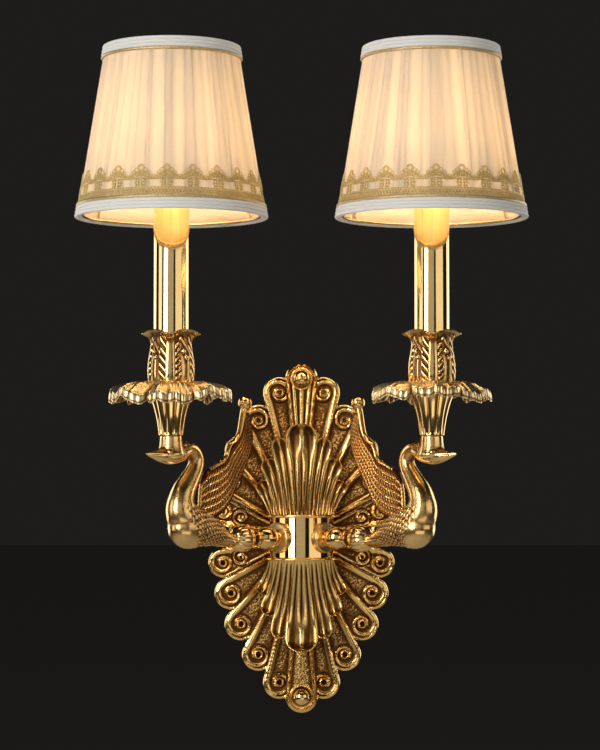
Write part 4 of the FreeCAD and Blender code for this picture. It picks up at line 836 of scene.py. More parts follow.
def wing_fin():
    """The fin between the wing's two edges: ropes lie side by side on both its faces."""
    places = np.linspace(0, 1, WING_STEPS)
    pick = [np.stack([np.interp(places, np.linspace(0, 1, len(c)), c[:, k]) for k in (0, 1)], -1)
            for c in (curve_through(WING_TOP, 30), curve_through(WING_FOOT, 30))]
    across = np.linspace(0, 1, ROPES * ROPE_POINTS + 1)
    plane = pick[0][:, None, :] * (1 - across)[None, :, None] + pick[1][:, None, :] * across[None, :, None]
    length = np.cumsum(np.hypot(*np.gradient(plane, axis=0).transpose(2, 0, 1)), axis=0)
    width = np.hypot(*(pick[0] - pick[1]).T)[:, None]
    rope = np.abs(np.sin(math.pi * ROPES * across))[None, :]
    skew = (ROPES * across - np.floor(ROPES * across - 1e-9))[None, :]
    twist = 0.5 + 0.5 * np.cos(2 * math.pi * (length / ROPE_LAY + 0.9 * skew))
    thick = np.clip(width / 14, 0.45, 1.0) * (0.4 + 0.6 * smoothstep(0, 0.06, places))[:, None]
    proud = 2.2 * thick * rope ** 0.8 * (0.52 + 0.48 * twist)
    edge = np.sqrt(np.clip(1 - np.abs(2 * across - 1) ** 10, 0, 1))[None, :]
    half = (0.3 + 1.9 * edge) * thick + proud
    s = plane[..., 0]
    return grid_shell(np.stack([s, -half, plane[..., 1]], -1), np.stack([s, half, plane[..., 1]], -1))


wing_points, wing_faces = wing_fin()
wing_tip, wing_tip_faces = lathe([(0.0, -5.7)] + ball_profile(5.7, 0, -78, 90, 18)[:-1] + [(0.0, 5.7)], 32)
wing_tip = wing_tip + np.array([64.6, 0.0, 109.3])
rolled_top = curve_through([(114.3, 14.0), (114.2, 23.0), (113.8, 32.5), (112.4, 42.5), (109.4, 49.0),
                            (105.0, 53.6), (100.4, 56.4), (95.0, 58.9), (89.5, 61.3), (85.2, 65.6),
                            (83.6, 70.4), (80.6, 75.4), (75.4, 78.6), (71.2, 84.0), (69.0, 91.0),
                            (67.6, 98.0), (65.8, 105.0)], 14)
roll_length = np.cumsum(np.hypot(*np.gradient(rolled_top, axis=0).T))
roll_size = np.interp(roll_length / roll_length[-1], [0, 0.3, 0.6, 1], [1.2, 1.6, 1.9, 2.3])
roll_beads = 0.78 + 0.30 * np.abs(np.sin(math.pi * roll_length / ROPE_LAY))
roll_size = roll_size * np.where(roll_length < 0.55 * roll_length[-1], roll_beads, 0.95)
rolled_edge = tube_along(rolled_top, roll_size, roll_size * 1.35, 14)
both_arms("wing_casting", *joined([(wing_points, wing_faces), (wing_tip, wing_tip_faces), rolled_edge]),
          aged_gilt("gilt_wing", bright=(0.95, 0.58, 0.21), dark=(0.22, 0.08, 0.02), shine=0.16, dull=0.42,
                    sand=0.2), None, gain=0.9)

# ---------------------------------------------------------------- fluted vases
# A turned and fluted brass vase stands on each swan's crown and flares out under the drip pan.
CANDLE_X = CANDLE_REACH * SLANT
CANDLE_Y = DRUM_AXIS - CANDLE_REACH * SLANT


def relief_grid(radii, heights, turns, inner):
    """Closed turning: outer skin of radii[height, turn], inner skin at radius inner[height]."""
    rows, columns = radii.shape
    skins = []
    for skin in (radii, np.broadcast_to(np.asarray(inner)[:, None], radii.shape)):
        skins.append(np.stack([skin * np.cos(turns), skin * np.sin(turns),
                               np.broadcast_to(heights, radii.shape)], -1).reshape(-1, 3))
    faces = []
    size = rows * columns
    for i in range(rows - 1):
        for k in range(columns):
            a, b = i * columns + k, i * columns + (k + 1) % columns
            faces.append([a, b, b + columns, a + columns])
            faces.append([size + a, size + a + columns, size + b + columns, size + b])
    for k in range(columns):
        b = (k + 1) % columns
        faces.append([k, size + k, size + b, b])
        top = (rows - 1) * columns
        faces.append([top + k, top + b, size + top + b, size + top + k])
    return np.concatenate(skins), faces


def both_candles(name, points, faces, finish, node, left=None, **kept):
    """The piece at each candle. Points are round the candle's own axis, with their real heights."""
    for side, sign, own in (("right_", 1, points), ("left_", -1, points if left is None else left)):
        place = own + np.array([sign * CANDLE_X, CANDLE_Y, 0])
        cast_piece(side + name, place, faces, finish, stands_for=[side + node], **kept)


VASE_SHAPE = [(82.0, 9.8), (83.0, 9.95), (88.0, 10.6), (96.0, 12.0), (103.0, 13.8), (108.0, 15.3),
              (112.5, 16.9), (115.5, 18.3), (117.0, 19.3), (117.9, 20.4)]
vase_rows = curve_through(VASE_SHAPE, 8)
vase_turns = even_turns(240)
vase_gap = np.abs(np.sin(5 * vase_turns))[None, :] ** 0.6
vase_depth = np.interp(vase_rows[:, 0], [82.0, 83.5, 108, 118], [0.0, 0.9, 1.7, 2.3])[:, None]
vase_radii = vase_rows[:, 1][:, None] - vase_depth * (1 - vase_gap)
vase_inner = np.maximum(vase_rows[:, 1] - 2.6, 5.2)
vase_points, vase_faces = relief_grid(vase_radii, vase_rows[:, 0][:, None], vase_turns, vase_inner)
vase_finish = polished_brass("vase_brass", colour=(0.93, 0.64, 0.27), rough=0.09, ripple=0.06)
both_candles("vase_turning", vase_points, vase_faces, vase_finish, "fluted_vase", slot="polished_brass",
             sharp=60, gain=0.3)

# ---------------------------------------------------------------- drip pans
# A cast rosette of drooping leaves between the vase and the candle cup. Its edges are thick and
# crimped, with the casting's satin skin left on them, and the underside is ribbed.
PAN_FOOT, PAN_LEAVES = 118.0, 7
PAN_FADE = [0, 0.15, 0.45, 0.7, 0.86, 1.0]


def drip_pan(seed, fold_turn, fold, fold_width, shift):
    """One pan. Its edge lifts by fold about fold_turn, and the whole rim sits off centre by shift."""
    rng = np.random.default_rng(seed)
    turns = even_turns(384)
    share = np.concatenate([np.linspace(0, 0.8, 22), 0.8 + 0.2 * np.linspace(0, 1, 12)[1:] ** 0.8])
    round_leaves = turns * PAN_LEAVES / (2 * math.pi) + 0.21
    leaf = round_leaves % 1 * 2 - 1
    number = np.floor(round_leaves).astype(int) % PAN_LEAVES
    reach = 48.6 + rng.uniform(-1.6, 1.2, PAN_LEAVES)[number]
    wander = sum(rng.uniform(0.4, 1.0) * np.sin(k * turns + rng.uniform(0, 6.3)) for k in (3, 5, 8, 13))
    lumps = np.abs(np.cos(12 * leaf + 0.6 * wander)) ** 0.6
    edge = reach * (1 - 0.12 * np.abs(leaf) ** 4) + 1.3 * (lumps - 0.6) * (1 - leaf ** 6)
    edge = edge - shift * np.cos(turns)
    r = 15.6 + (edge[None, :] - 15.6) * np.interp(share, [0, 0.8, 0.9, 1], [0, 0.88, 0.965, 1.0])[:, None]
    crown = np.interp(share, PAN_FADE, [1.6, 3.6, 3.4, 1.2, -2.0, -7.6])[:, None]
    side_drop = np.interp(share, PAN_FADE, [0.2, 0.8, 1.8, 2.6, 2.4, 1.4])[:, None]
    near_fold = np.exp(-((turns - fold_turn + math.pi) % (2 * math.pi) - math.pi) ** 2 / fold_width)
    near_edge = smoothstep(0.45, 1.0, share)[:, None]
    ruffle = (1.9 * np.cos(6 * leaf + wander) + 1.1 * wander)[None, :] * near_edge
    z = PAN_FOOT + 1.2 + crown - side_drop * (leaf ** 2)[None, :] + ruffle
    z = z + fold * near_fold[None, :] * near_edge
    vein = np.abs(np.sin(5 * math.pi * (leaf + 1) / 2))[None, :] * smoothstep(0.1, 0.5, share)[:, None]
    thick = 1.9 + (2.0 + 1.2 * lumps)[None, :] * smoothstep(0.82, 0.94, share)[:, None]
    vein = vein * (1 - 0.8 * near_edge)
    end = np.sqrt(np.clip(1 - np.clip((share - 0.94) / 0.06, 0, 1) ** 2, 0, 1))[:, None]
    top = z + (0.5 * thick * end) + 0.5 * vein * end
    low = z - (0.5 * thick * end) - 1.0 * (1 - vein) * (1 - 0.7 * near_edge) * end
    out = [np.stack([r * np.cos(turns), r * np.sin(turns), h], -1) for h in (top, low)]
    rows, columns = top.shape
    points = np.concatenate([o.reshape(-1, 3) for o in out])
    size = rows * columns
    faces = []
    for i in range(rows - 1):
        for k in range(columns):
            a, b = i * columns + k, i * columns + (k + 1) % columns
            faces.append([a + columns, b + columns, b, a])
            faces.append([size + a, size + b, size + b + columns, size + a + columns])
    for k in range(columns):
        b = (k + 1) % columns
        faces.append([k, b, size + b, size + k])
        rim = (rows - 1) * columns
        faces.append([rim + b, rim + k, size + rim + k, size + rim + b])
    return points, faces


pan_finish = aged_gilt("gilt_pan", bright=(0.90, 0.72, 0.40), dark=(0.30, 0.15, 0.045), shine=0.27, dull=0.46,
                       sand=0.3)
right_pan, pan_faces = drip_pan(11, math.radians(-112), 3.0, 0.05, 0.0)
left_pan, pan_faces = drip_pan(4, math.radians(-90), -4.5, 0.3, 1.8)
both_candles("pan_casting", right_pan, pan_faces, pan_finish, "drip_pan", left=left_pan, sharp=70, gain=0.35)

# ---------------------------------------------------------------- candle cups
# Cast cups chased with leaves: four smooth fronds, each beside a row of curled leaflets and a pair
# of scroll buds, under a flared rim drawn out to four points.
CUP_SHAPE = [(120.2, 15.0), (121.2, 16.4), (124.0, 17.1), (130.0, 17.75), (136.0, 17.7), (143.0, 16.9),
             (150.0, 15.7), (155.0, 15.3), (158.5, 15.7), (161.5, 17.3), (163.2, 18.9), (164.2, 19.4)]
CUP_QUARTER = 27.0
CUP_INNER = [(120.2, 5.2), (123.2, 5.2), (123.3, 14.3), (160.0, 14.3), (164.2, 16.4)]


def bump(distance, size):
    """Round rise, 1 at distance 0 and 0 from the size on."""
    return np.clip(1 - (distance / size) ** 2, 0, 1) ** 0.5


def cup_relief(u, z):
    """Rise of the chasing over the cup's skin. u runs across one quarter, 0 to CUP_QUARTER."""
    rise = 1.0 * bump(u - 3.0, 4.2) * (1 - smoothstep(158, 162, z))
    rise = rise - 0.7 * np.clip(1 - np.abs(u - 7.2) / 0.6, 0, 1)
    for k in range(6):
        foot = 125.0 + 5.0 * k
        lean = (z - foot) - 0.95 * (u - 7.0)
        reach = 4.6 - 0.25 * k
        leaflet = 1.15 * bump(lean, 1.9) * smoothstep(7.0, 8.0, u)
        rise = np.maximum(rise, leaflet * (1 - smoothstep(6.8 + reach, 7.4 + reach, u)))
        rise = np.maximum(rise, 1.7 * bump(np.hypot(u - 6.6 - reach, z - foot - 0.95 * reach), 1.25))
    for u_bud, z_bud, size in ((15.2, 147.5, 2.0), (17.6, 142.8, 2.2)):
        rise = np.maximum(rise, 2.0 * bump(np.hypot(u - u_bud, z - z_bud), size))
    stem = bump(u - 18.3, 0.9) * smoothstep(124, 126, z) * (1 - smoothstep(141, 143, z))
    arch = bump(np.abs(z - (158.0 - 1.25 * np.abs(u - 12.5))) / 1.3, 1) * smoothstep(11.0, 12.0, u)
    rise = np.maximum(rise, np.maximum(1.1 * stem, 1.2 * arch * (1 - smoothstep(21, 23, u))))
    for k in range(6):
        lean = (z - 126.0 - 6.4 * k) + 1.1 * (u - 26.4)
        rise = np.maximum(rise, 1.1 * bump(lean, 2.3) * smoothstep(20.6, 22.0, u))
    return rise


cup_rows = curve_through(CUP_SHAPE, 7)
cup_turns = even_turns(320)
quarter = (np.degrees(cup_turns) + 101.0) % 90 / 90 * CUP_QUARTER
cup_z = cup_rows[:, 0][:, None]
flare = smoothstep(153, 164.2, cup_z)
points_out = 0.5 + 0.5 * np.cos(4 * cup_turns)[None, :]
chasing = cup_relief(quarter[None, :], cup_z) * (1 - smoothstep(159.0, 162.0, cup_z))
cup_radii = cup_rows[:, 1][:, None] + chasing + flare ** 1.5 * (4.6 * points_out ** 1.7 - 0.6)
cup_heights = cup_z + flare ** 2 * (0.5 - 3.0 * points_out ** 2)
cup_inner = np.interp(cup_rows[:, 0], *np.array(CUP_INNER).T)
cup_points, cup_faces = relief_grid(cup_radii, cup_heights, cup_turns, cup_inner)
cup_finish = aged_gilt("gilt_cup", bright=(0.97, 0.66, 0.28), dark=(0.25, 0.10, 0.028), shine=0.09, dull=0.36,
                       sand=0.15)
both_candles("cup_casting", cup_points, cup_faces, cup_finish, "candle_cup", sharp=60, gain=0.9)

# ---------------------------------------------------------------- candle tubes
# Plain drawn brass tubes, polished, that stand in the cups and hide the lampholders.
tube_points, tube_faces = lathe([(13.1, 123.2), (13.9, 123.2), (14.1, 123.4), (14.1, 278.6), (13.9, 279.0),
                                 (13.1, 279.0)], 96)
both_candles("tube_drawn", tube_points, tube_faces,
             polished_brass("tube_brass", colour=(0.96, 0.72, 0.36), rough=0.075, ripple=0.03, smudge=0.05),
             "candle_tube", slot="polished_brass", sharp=40, gain=0)

# ---------------------------------------------------------------- lampholders and bulbs
# Screw lampholders of black plastic stand in the tubes, with nickel contacts, and carry clear candle
# bulbs. Their shapes come from the CAD model as they are; here they get their materials.


def plated(name, colour, rough):
    """Plated or drawn wire and sheet: metal, with a faint unevenness of its shine."""
    material, nodes, links, shader = new_finish(name)
    shader.inputs["Base Color"].default_value = (*colour, 1)
    shader.inputs["Metallic"].default_value = 1.0
    place = object_place(nodes)
    smear = noise_value(nodes, links, place, 160.0)
    spread_to(nodes, links, smear, rough * 0.75, rough * 1.3, shader.inputs["Roughness"])
    bump_node = noise_bump(nodes, links, place, 300.0, 0.0001, 0.08)
    links.new(bump_node.outputs["Normal"], shader.inputs["Normal"])
    return material


def moulded(name, colour, rough):
    """Moulded plastic with a fine grain."""
    material, nodes, links, shader = new_finish(name)
    shader.inputs["Base Color"].default_value = (*colour, 1)
    shader.inputs["Roughness"].default_value = rough
    bump_node = noise_bump(nodes, links, object_place(nodes), 1800.0, 0.00005, 0.25)
    links.new(bump_node.outputs["Normal"], shader.inputs["Normal"])
    return material


def bulb_glass(name):
    """Thin clear glass. It lets the lamp's light out, so it is mostly see-through with a sharp gloss."""
    material, nodes, links, shader = new_finish(name)
    nodes.remove(shader)
    clear = nodes.new("ShaderNodeBsdfTransparent")
    clear.inputs["Color"].default_value = (0.97, 0.95, 0.90, 1)
    gloss = nodes.new("ShaderNodeBsdfGlossy")
    gloss.inputs["Roughness"].default_value = 0.02
    edge = nodes.new("ShaderNodeFresnel")
    edge.inputs["IOR"].default_value = 1.5
    mix = nodes.new("ShaderNodeMixShader")
    links.new(edge.outputs["Fac"], mix.inputs["Fac"])
    links.new(clear.outputs["BSDF"], mix.inputs[1])
    links.new(gloss.outputs["BSDF"], mix.inputs[2])
    links.new(mix.outputs["Shader"], nodes["Material Output"].inputs["Surface"])
    return material


def glowing(name, colour, strength):
    """Coated filament that gives light."""
    material, _, _, shader = new_finish(name)
    shader.inputs["Base Color"].default_value = (0.98, 0.90, 0.70, 1)
    shader.inputs["Roughness"].default_value = 0.5
    shader.inputs["Emission Color"].default_value = (*colour, 1)
    shader.inputs["Emission Strength"].default_value = strength
    return material


def finish_nodes(material, *names):
    """CAD pieces that keep their own meshes get the material."""
    for name in names:
        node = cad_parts[name]
        node.data.materials.clear()
        node.data.materials.append(material)
        for polygon in node.data.polygons:
            polygon.material_index = 0


def both(name):
    return "right_" + name, "left_" + name


steel = plated("brass_plated_steel", (0.80, 0.62, 0.34), 0.24)
nickel = plated("nickel_plate", (0.74, 0.73, 0.70), 0.20)
finish_nodes(steel, "wall_strap", "strap_studs", "leaf_screws", *both("arm_nut"), *both("arm_tie_rod"),
             *both("threaded_nipple"), *both("cup_nut"), *both("shade_frame"))
finish_nodes(nickel, *both("holder_contact"), *both("bulb_cap"))
finish_nodes(moulded("white_moulding", (0.84, 0.84, 0.80), 0.42), "terminal_block")
finish_nodes(moulded("black_moulding", (0.018, 0.017, 0.016), 0.38), *both("lampholder"))
finish_nodes(bulb_glass("clear_bulb_glass"), *both("bulb_glass"))
finish_nodes(glowing("lit_filament", (1.0, 0.62, 0.26), 14.0), *both("bulb_filament"))

# ---------------------------------------------------------------- pleated shades
# Empire shades: a smooth peach lining, and over it cream silk gathered into loose uneven pleats,
# sewn at both rings of the wire frame. Each shade turns about its candle.
SHADE_FOOT, SHADE_TOP = 253.0, 389.0
FOOT_RADIUS, TOP_RADIUS = 76.0, 54.0
CLOTH_THICK, LINING_DEPTH = 0.4, 3.9
SIDES = (("right", 1), ("left", -1))


def cone_radius(z):
    return FOOT_RADIUS + (TOP_RADIUS - FOOT_RADIUS) * (z - SHADE_FOOT) / (SHADE_TOP - SHADE_FOOT)


def ring_cloth(outer, heights, turns, thick):
    """A cloth cone with a real thickness, from outer radii[height, turn]."""
    rows, columns = outer.shape
    points, faces = relief_grid(outer, heights, turns, np.zeros(rows))
    inner = (outer - thick).reshape(-1)
    angle = np.broadcast_to(turns, outer.shape).reshape(-1)
    points[rows * columns:, 0] = inner * np.cos(angle)
    points[rows * columns:, 1] = inner * np.sin(angle)
    return points, faces


def pleated_cloth(seed):
    """Points and faces of one shade's silk, and at each point how much of it lies double, with painted shade
    added in the pleats' valleys.
    """
    pleats = 58
    rng = np.random.default_rng(seed)
    turns = even_turns(pleats * 11)
    heights = np.concatenate([np.linspace(SHADE_FOOT + 1, SHADE_FOOT + 14, 8)[:-1],
                              np.linspace(SHADE_FOOT + 14, SHADE_TOP - 10, 32),
                              np.linspace(SHADE_TOP - 10, SHADE_TOP - 1, 8)[1:]])
    height = (heights - SHADE_FOOT)[:, None] / (SHADE_TOP - SHADE_FOOT)
    wide = rng.uniform(0.45, 1.75, pleats)
    ends = np.concatenate([[0], np.cumsum(wide)]) / wide.sum() * 2 * math.pi
    drift = sum(rng.uniform(0.004, 0.016) * np.sin(k * turns + rng.uniform(0, 6.3)) for k in (2, 5, 9))
    place = (turns[None, :] + drift[None, :] * (height - 0.5) * 2) % (2 * math.pi)
    number = np.clip(np.searchsorted(ends, place, side="right") - 1, 0, pleats - 1)
    share = (place - ends[number]) / (ends[number + 1] - ends[number])
    deep = rng.uniform(0.35, 1.0, pleats)[number]
    lean = rng.uniform(0.22, 0.78, pleats)[number]
    bent = np.where(share < lean, share / lean * 0.5, 0.5 + (share - lean) / (1 - lean) * 0.5)
    fold = np.sin(math.pi * bent) ** 0.75
    gather = 0.55 + 0.45 * np.abs(2 * height - 1)
    slack = 1.0 * (1 - (2 * height - 1) ** 2) * (0.6 + 0.4 * np.sin(number * 2.4 + 3 * height))
    outer = cone_radius(heights)[:, None] - 1.25 - 1.75 * gather * deep * (1 - fold) - 0.35 * slack
    doubled = rng.uniform(0, 1, pleats) ** 1.6
    overlap = np.clip(1 - share / 0.32, 0, 1) ** 0.5
    # Double or overlapping silk lets less light through; the pleats' valleys add painted shade.
    layers_and_valley_shade = np.clip(0.75 * doubled[number] + 0.45 * overlap + 0.10 * (1 - fold), 0, 1)
    points, faces = ring_cloth(outer, heights[:, None], turns, CLOTH_THICK)
    return points, faces, np.tile(layers_and_valley_shade.reshape(-1), 2)


def translucent_cloth(name, colour, glow, weave=900.0, doubled=None, share=0.6):
    """Thin cloth: part of the light is scattered back and part goes through, with a fine weave."""
    material, nodes, links, shader = new_finish(name)
    shader.inputs["Roughness"].default_value = 0.62
    shader.inputs["Sheen Weight"].default_value = 0.25
    shader.inputs["Base Color"].default_value = (*colour, 1)
    through = nodes.new("ShaderNodeBsdfTranslucent")
    through.inputs["Color"].default_value = (*glow, 1)
    # Where 'double' is high less light goes through the cloth, and its front is greyed as painted shade.
    if doubled:
        layers_and_valley_shade = vertex_value(nodes, "double")
        for target, tone, thick in ((shader.inputs["Base Color"], colour, doubled[0]),
                                    (through.inputs["Color"], glow, doubled[1])):
            colours_to(nodes, links, layers_and_valley_shade, [(0.0, tone), (1.0, thick)], target)
    mix = nodes.new("ShaderNodeMixShader")
    mix.inputs["Fac"].default_value = share
    links.new(shader.outputs["BSDF"], mix.inputs[1])
    links.new(through.outputs["BSDF"], mix.inputs[2])
    bump_node = noise_bump(nodes, links, object_place(nodes), weave, 0.00012, 0.35)
    links.new(bump_node.outputs["Normal"], shader.inputs["Normal"])
    links.new(mix.outputs["Shader"], nodes["Material Output"].inputs["Surface"])
    return material


# The second pair of tones is for doubled silk and pleat valleys: less light through, and painted shade on the
# front.
silk = translucent_cloth("cream_silk_cloth", (0.94, 0.89, 0.80), (0.99, 0.95, 0.85),
                         doubled=((0.82, 0.79, 0.75), (0.76, 0.72, 0.67)))
peach = translucent_cloth("peach_lining_cloth", (0.80, 0.66, 0.52), (0.99, 0.93, 0.84), share=0.7)
for (side, sign), seed in zip(SIDES, (7, 23)):
    place = np.array([sign * CANDLE_X, CANDLE_Y, 0])
    cloth_points, cloth_faces, cloth_layers_and_shade = pleated_cloth(seed)
    cast_piece(side + "_pleated_silk", cloth_points + place, cloth_faces, silk,
                                    body=side + "_shade", stands_for=[side + "_shade_fabric"],
                                    slot="cream_silk", marks={"double": cloth_layers_and_shade}, gain=0)
    lining_z = np.linspace(SHADE_FOOT + 0.6, SHADE_TOP - 0.6, 14)
    lining_outer = np.broadcast_to(cone_radius(lining_z)[:, None] - LINING_DEPTH, (14, 144))
    lining_points, lining_faces = ring_cloth(lining_outer, lining_z[:, None], even_turns(144), CLOTH_THICK)
    cast_piece(
        side + "_smooth_lining", lining_points + place, lining_faces, peach, body=side + "_shade",
        stands_for=[side + "_shade_lining"], slot="peach_lining", gain=0)

# ---------------------------------------------------------------- braid and cords
# White corded braid is sewn round both ends of each shade, and a thin gold cord lies along its inner
# edge. The braid is three laid cords side by side, with a flat tape behind them.


def cord_ring(radius, z, size, twist, lay, steps, around=10):
    """A cord laid from three strands and bent into a ring about the candle's axis."""
    t, a = even_turns(steps), even_turns(around)
    width = size * (1 + lay * np.cos(3 * (a[None, :] + twist * t[:, None] / 3)))
    r = radius + width * np.cos(a)[None, :]
    h = z + width * np.sin(a)[None, :]
    points = np.stack([r * np.cos(t)[:, None], r * np.sin(t)[:, None], h], -1).reshape(-1, 3)
    index = np.arange(steps * around).reshape(steps, around)
    ahead = np.roll(index, -1, 0)
    quads = np.stack([index, ahead, np.roll(ahead, -1, 1), np.roll(index, -1, 1)], -1).reshape(-1, 4)
    return points, quads.tolist()


def braid(foot, height, tape_low, tape_high):
    """Three cords, and a flat tape behind them that covers part of their height."""
    parts = []
    for k in range(3):
        z = foot + height * (2 * k + 1) / 6
        parts.append(cord_ring(cone_radius(z) - 0.9, z, height / 6 + 0.1, 240, 0.045, 600, around=9))
    tape_z = np.linspace(foot + tape_low, foot + tape_high, 5)
    tape = np.broadcast_to(cone_radius(tape_z)[:, None] - 1.2, (5, 144))
    parts.append(ring_cloth(tape, tape_z[:, None], even_turns(144), 3.4))
    return joined(parts)


white_cord = translucent_cloth("white_braid_cord", (0.95, 0.95, 0.94), (0.95, 0.91, 0.84), weave=2600.0,
                               share=0.12)


def metallic_thread(name, colour):
    """Flat gilt strip wound on a core: it glitters, so its normal and its shine are broken up finely."""
    material, nodes, links, shader = new_finish(name)
    place = object_place(nodes)
    dim, bright = tuple(c * 0.45 for c in colour), tuple(min(c * 1.5, 1) for c in colour)
    colours_to(nodes, links, noise_value(nodes, links, place, 1400.0),
               [(0.28, dim), (0.5, colour), (0.7, bright)], shader.inputs["Base Color"])
    shader.inputs["Metallic"].default_value = 0.75
    shader.inputs["Roughness"].default_value = 0.36
    bump_node = noise_bump(nodes, links, place, 1900.0, 0.0003, 0.8)
    links.new(bump_node.outputs["Normal"], shader.inputs["Normal"])
    return material


gilt_thread = metallic_thread("gilt_thread", (0.66, 0.52, 0.22))
pale_cord = metallic_thread("pale_gold_cord", (0.74, 0.55, 0.30))
BRAID_HEIGHT = 8.5
for side, sign in SIDES:
    place = np.array([sign * CANDLE_X, CANDLE_Y, 0])
    for end, foot, node, tape in (("bottom", SHADE_FOOT, "_shade_trim_bottom", (0.4, 3.2)),
                                  ("top", SHADE_TOP - BRAID_HEIGHT, "_shade_trim_top", (5.3, 8.1))):
        braid_points, braid_faces = braid(foot, BRAID_HEIGHT, *tape)
        cast_piece(side + "_braid_" + end, braid_points + place, braid_faces, white_cord,
                   body=side + "_shade", stands_for=[side + node], slot="white_braid", gain=0)
    low, high = SHADE_FOOT + BRAID_HEIGHT + 1.2, SHADE_TOP - BRAID_HEIGHT - 1.0
    cords = joined([cord_ring(cone_radius(z) - 0.9, z, size, 300, 0.10, 720)
                    for z, size in ((low, 1.4), (high, 1.25))])
    cast_piece(side + "_gold_cord_rings", cords[0] + place, cords[1], pale_cord, body=side + "_shade",
               stands_for=[side + "_shade_gold_cords"], slot="gold_thread", gain=0)

# ---------------------------------------------------------------- gold lace
# Machine lace of gilt thread, sewn round the foot of each shade: a close filigree band, and on it a
# row of stems, each with side buds, arms that meet its neighbours' and an open loop on top.
LACE_FOOT = SHADE_FOOT + BRAID_HEIGHT + 1.9
LACE_MOTIFS = 22
THREAD_SCALE = 0.74


def thread(path, size, around=5, closed=False):
    """A round thread along (across, up) points of the motif, laid on the shade's cone."""
    size = THREAD_SCALE * size
    path = np.asarray(path, dtype=float)
    heading = np.gradient(path, axis=0) if not closed else np.roll(path, -1, 0) - np.roll(path, 1, 0)
    heading /= np.maximum(np.linalg.norm(heading, axis=1), 1e-6)[:, None]
    a = even_turns(around)
    u = path[:, 0, None] - heading[:, 1, None] * size * np.cos(a)[None, :]
    v = path[:, 1, None] + heading[:, 0, None] * size * np.cos(a)[None, :]
    out = size * np.sin(a)[None, :] + 0 * u
    radius = cone_radius(LACE_FOOT + v) - 0.75 + out
    angle = -math.pi / 2 + u / cone_radius(LACE_FOOT + 6)
    points = np.stack([radius * np.cos(angle), radius * np.sin(angle), LACE_FOOT + v], -1).reshape(-1, 3)
    index = np.arange(len(path) * around).reshape(len(path), around)
    ahead = np.roll(index, -1, 0)
    quads = np.stack([index, np.roll(index, -1, 1), np.roll(ahead, -1, 1), ahead], -1)
    if not closed:
        quads = quads[:-1]
    faces = quads.reshape(-1, 4).tolist()
    if not closed:
        faces += [index[0][::-1].tolist(), index[-1].tolist()]
    return points, faces


def ring_thread(u, v, radius, steps, size, around=4):
    """A closed ring of thread round the place (u, v) of the motif."""
    t = even_turns(steps)
    return thread(np.stack([u + radius * np.cos(t), v + radius * np.sin(t)], 1), size, around, closed=True)


def lace_motif():
    """One repeat of the lace, at the shade's front."""
    pitch = 2 * math.pi * cone_radius(LACE_FOOT + 6) / LACE_MOTIFS
    half = pitch / 2
    across = np.linspace(-half - 0.3, half + 0.3, 21)
    weave = np.linspace(-half, half, 57)
    swing = np.cos(2 * math.pi * weave / pitch)
    parts = [thread(np.stack([across, 0 * across + v], 1), 0.5) for v in (0.4, 6.0)]
    for phase in (0, math.pi):
        wave = 3.2 + 2.1 * np.sin(8 * math.pi * weave / pitch + phase)
        parts.append(thread(np.stack([weave, wave], 1), 0.45))
        zigzag = 15.0 + 1.4 * swing + (1.5 + 0.5 * swing) * np.sin(10 * math.pi * weave / pitch + phase)
        parts.append(thread(np.stack([weave, zigzag], 1), 0.42))
    for k in range(8):
        u = -half + pitch * (k + 0.5) / 8
        lift = math.cos(2 * math.pi * u / pitch)
        parts.append(ring_thread(u, 3.2, 0.8, 8, 0.34))
        parts.append(ring_thread(u, 15.0 + 1.4 * lift, 0.9, 8, 0.36))
        parts.append(ring_thread(u, 17.2 + 2.1 * lift, 0.8, 8, 0.34))
    parts.append(thread(np.stack([weave, 12.8 + 0.5 * swing], 1), 0.5))
    parts.append(thread(np.stack([weave, 16.4 + 2.2 * swing], 1), 0.5))
    for sign in (-1, 1):
        rise = np.linspace(6.0, 13.0, 12)
        parts.append(thread(np.stack([sign * (1.5 + 0.5 * np.cos(rise * 1.9)), rise], 1), 0.6))
        for v, reach in ((7.4, 3.4), (9.6, 4.0), (11.8, 3.6)):
            path = np.stack([sign * np.linspace(0.4, reach, 6), v + 0.7 * np.sin(np.linspace(0, 3.0, 6))], 1)
            parts.append(thread(path, 0.5))
            parts.append(ring_thread(sign * reach, v + 0.2, 0.8, 7, 0.38))
        parts.append(ring_thread(sign * 3.9, 19.4, 1.7, 12, 0.42, around=5))
        parts.append(ring_thread(sign * 6.5, 17.6, 1.3, 10, 0.38))
        parts.append(ring_thread(sign * 2.2, 16.2, 1.3, 10, 0.38))
    parts.append(ring_thread(0, 21.3, 2.7, 18, 0.52, around=5))
    parts.append(ring_thread(0, 21.3, 1.7, 12, 0.34))
    return joined(parts)


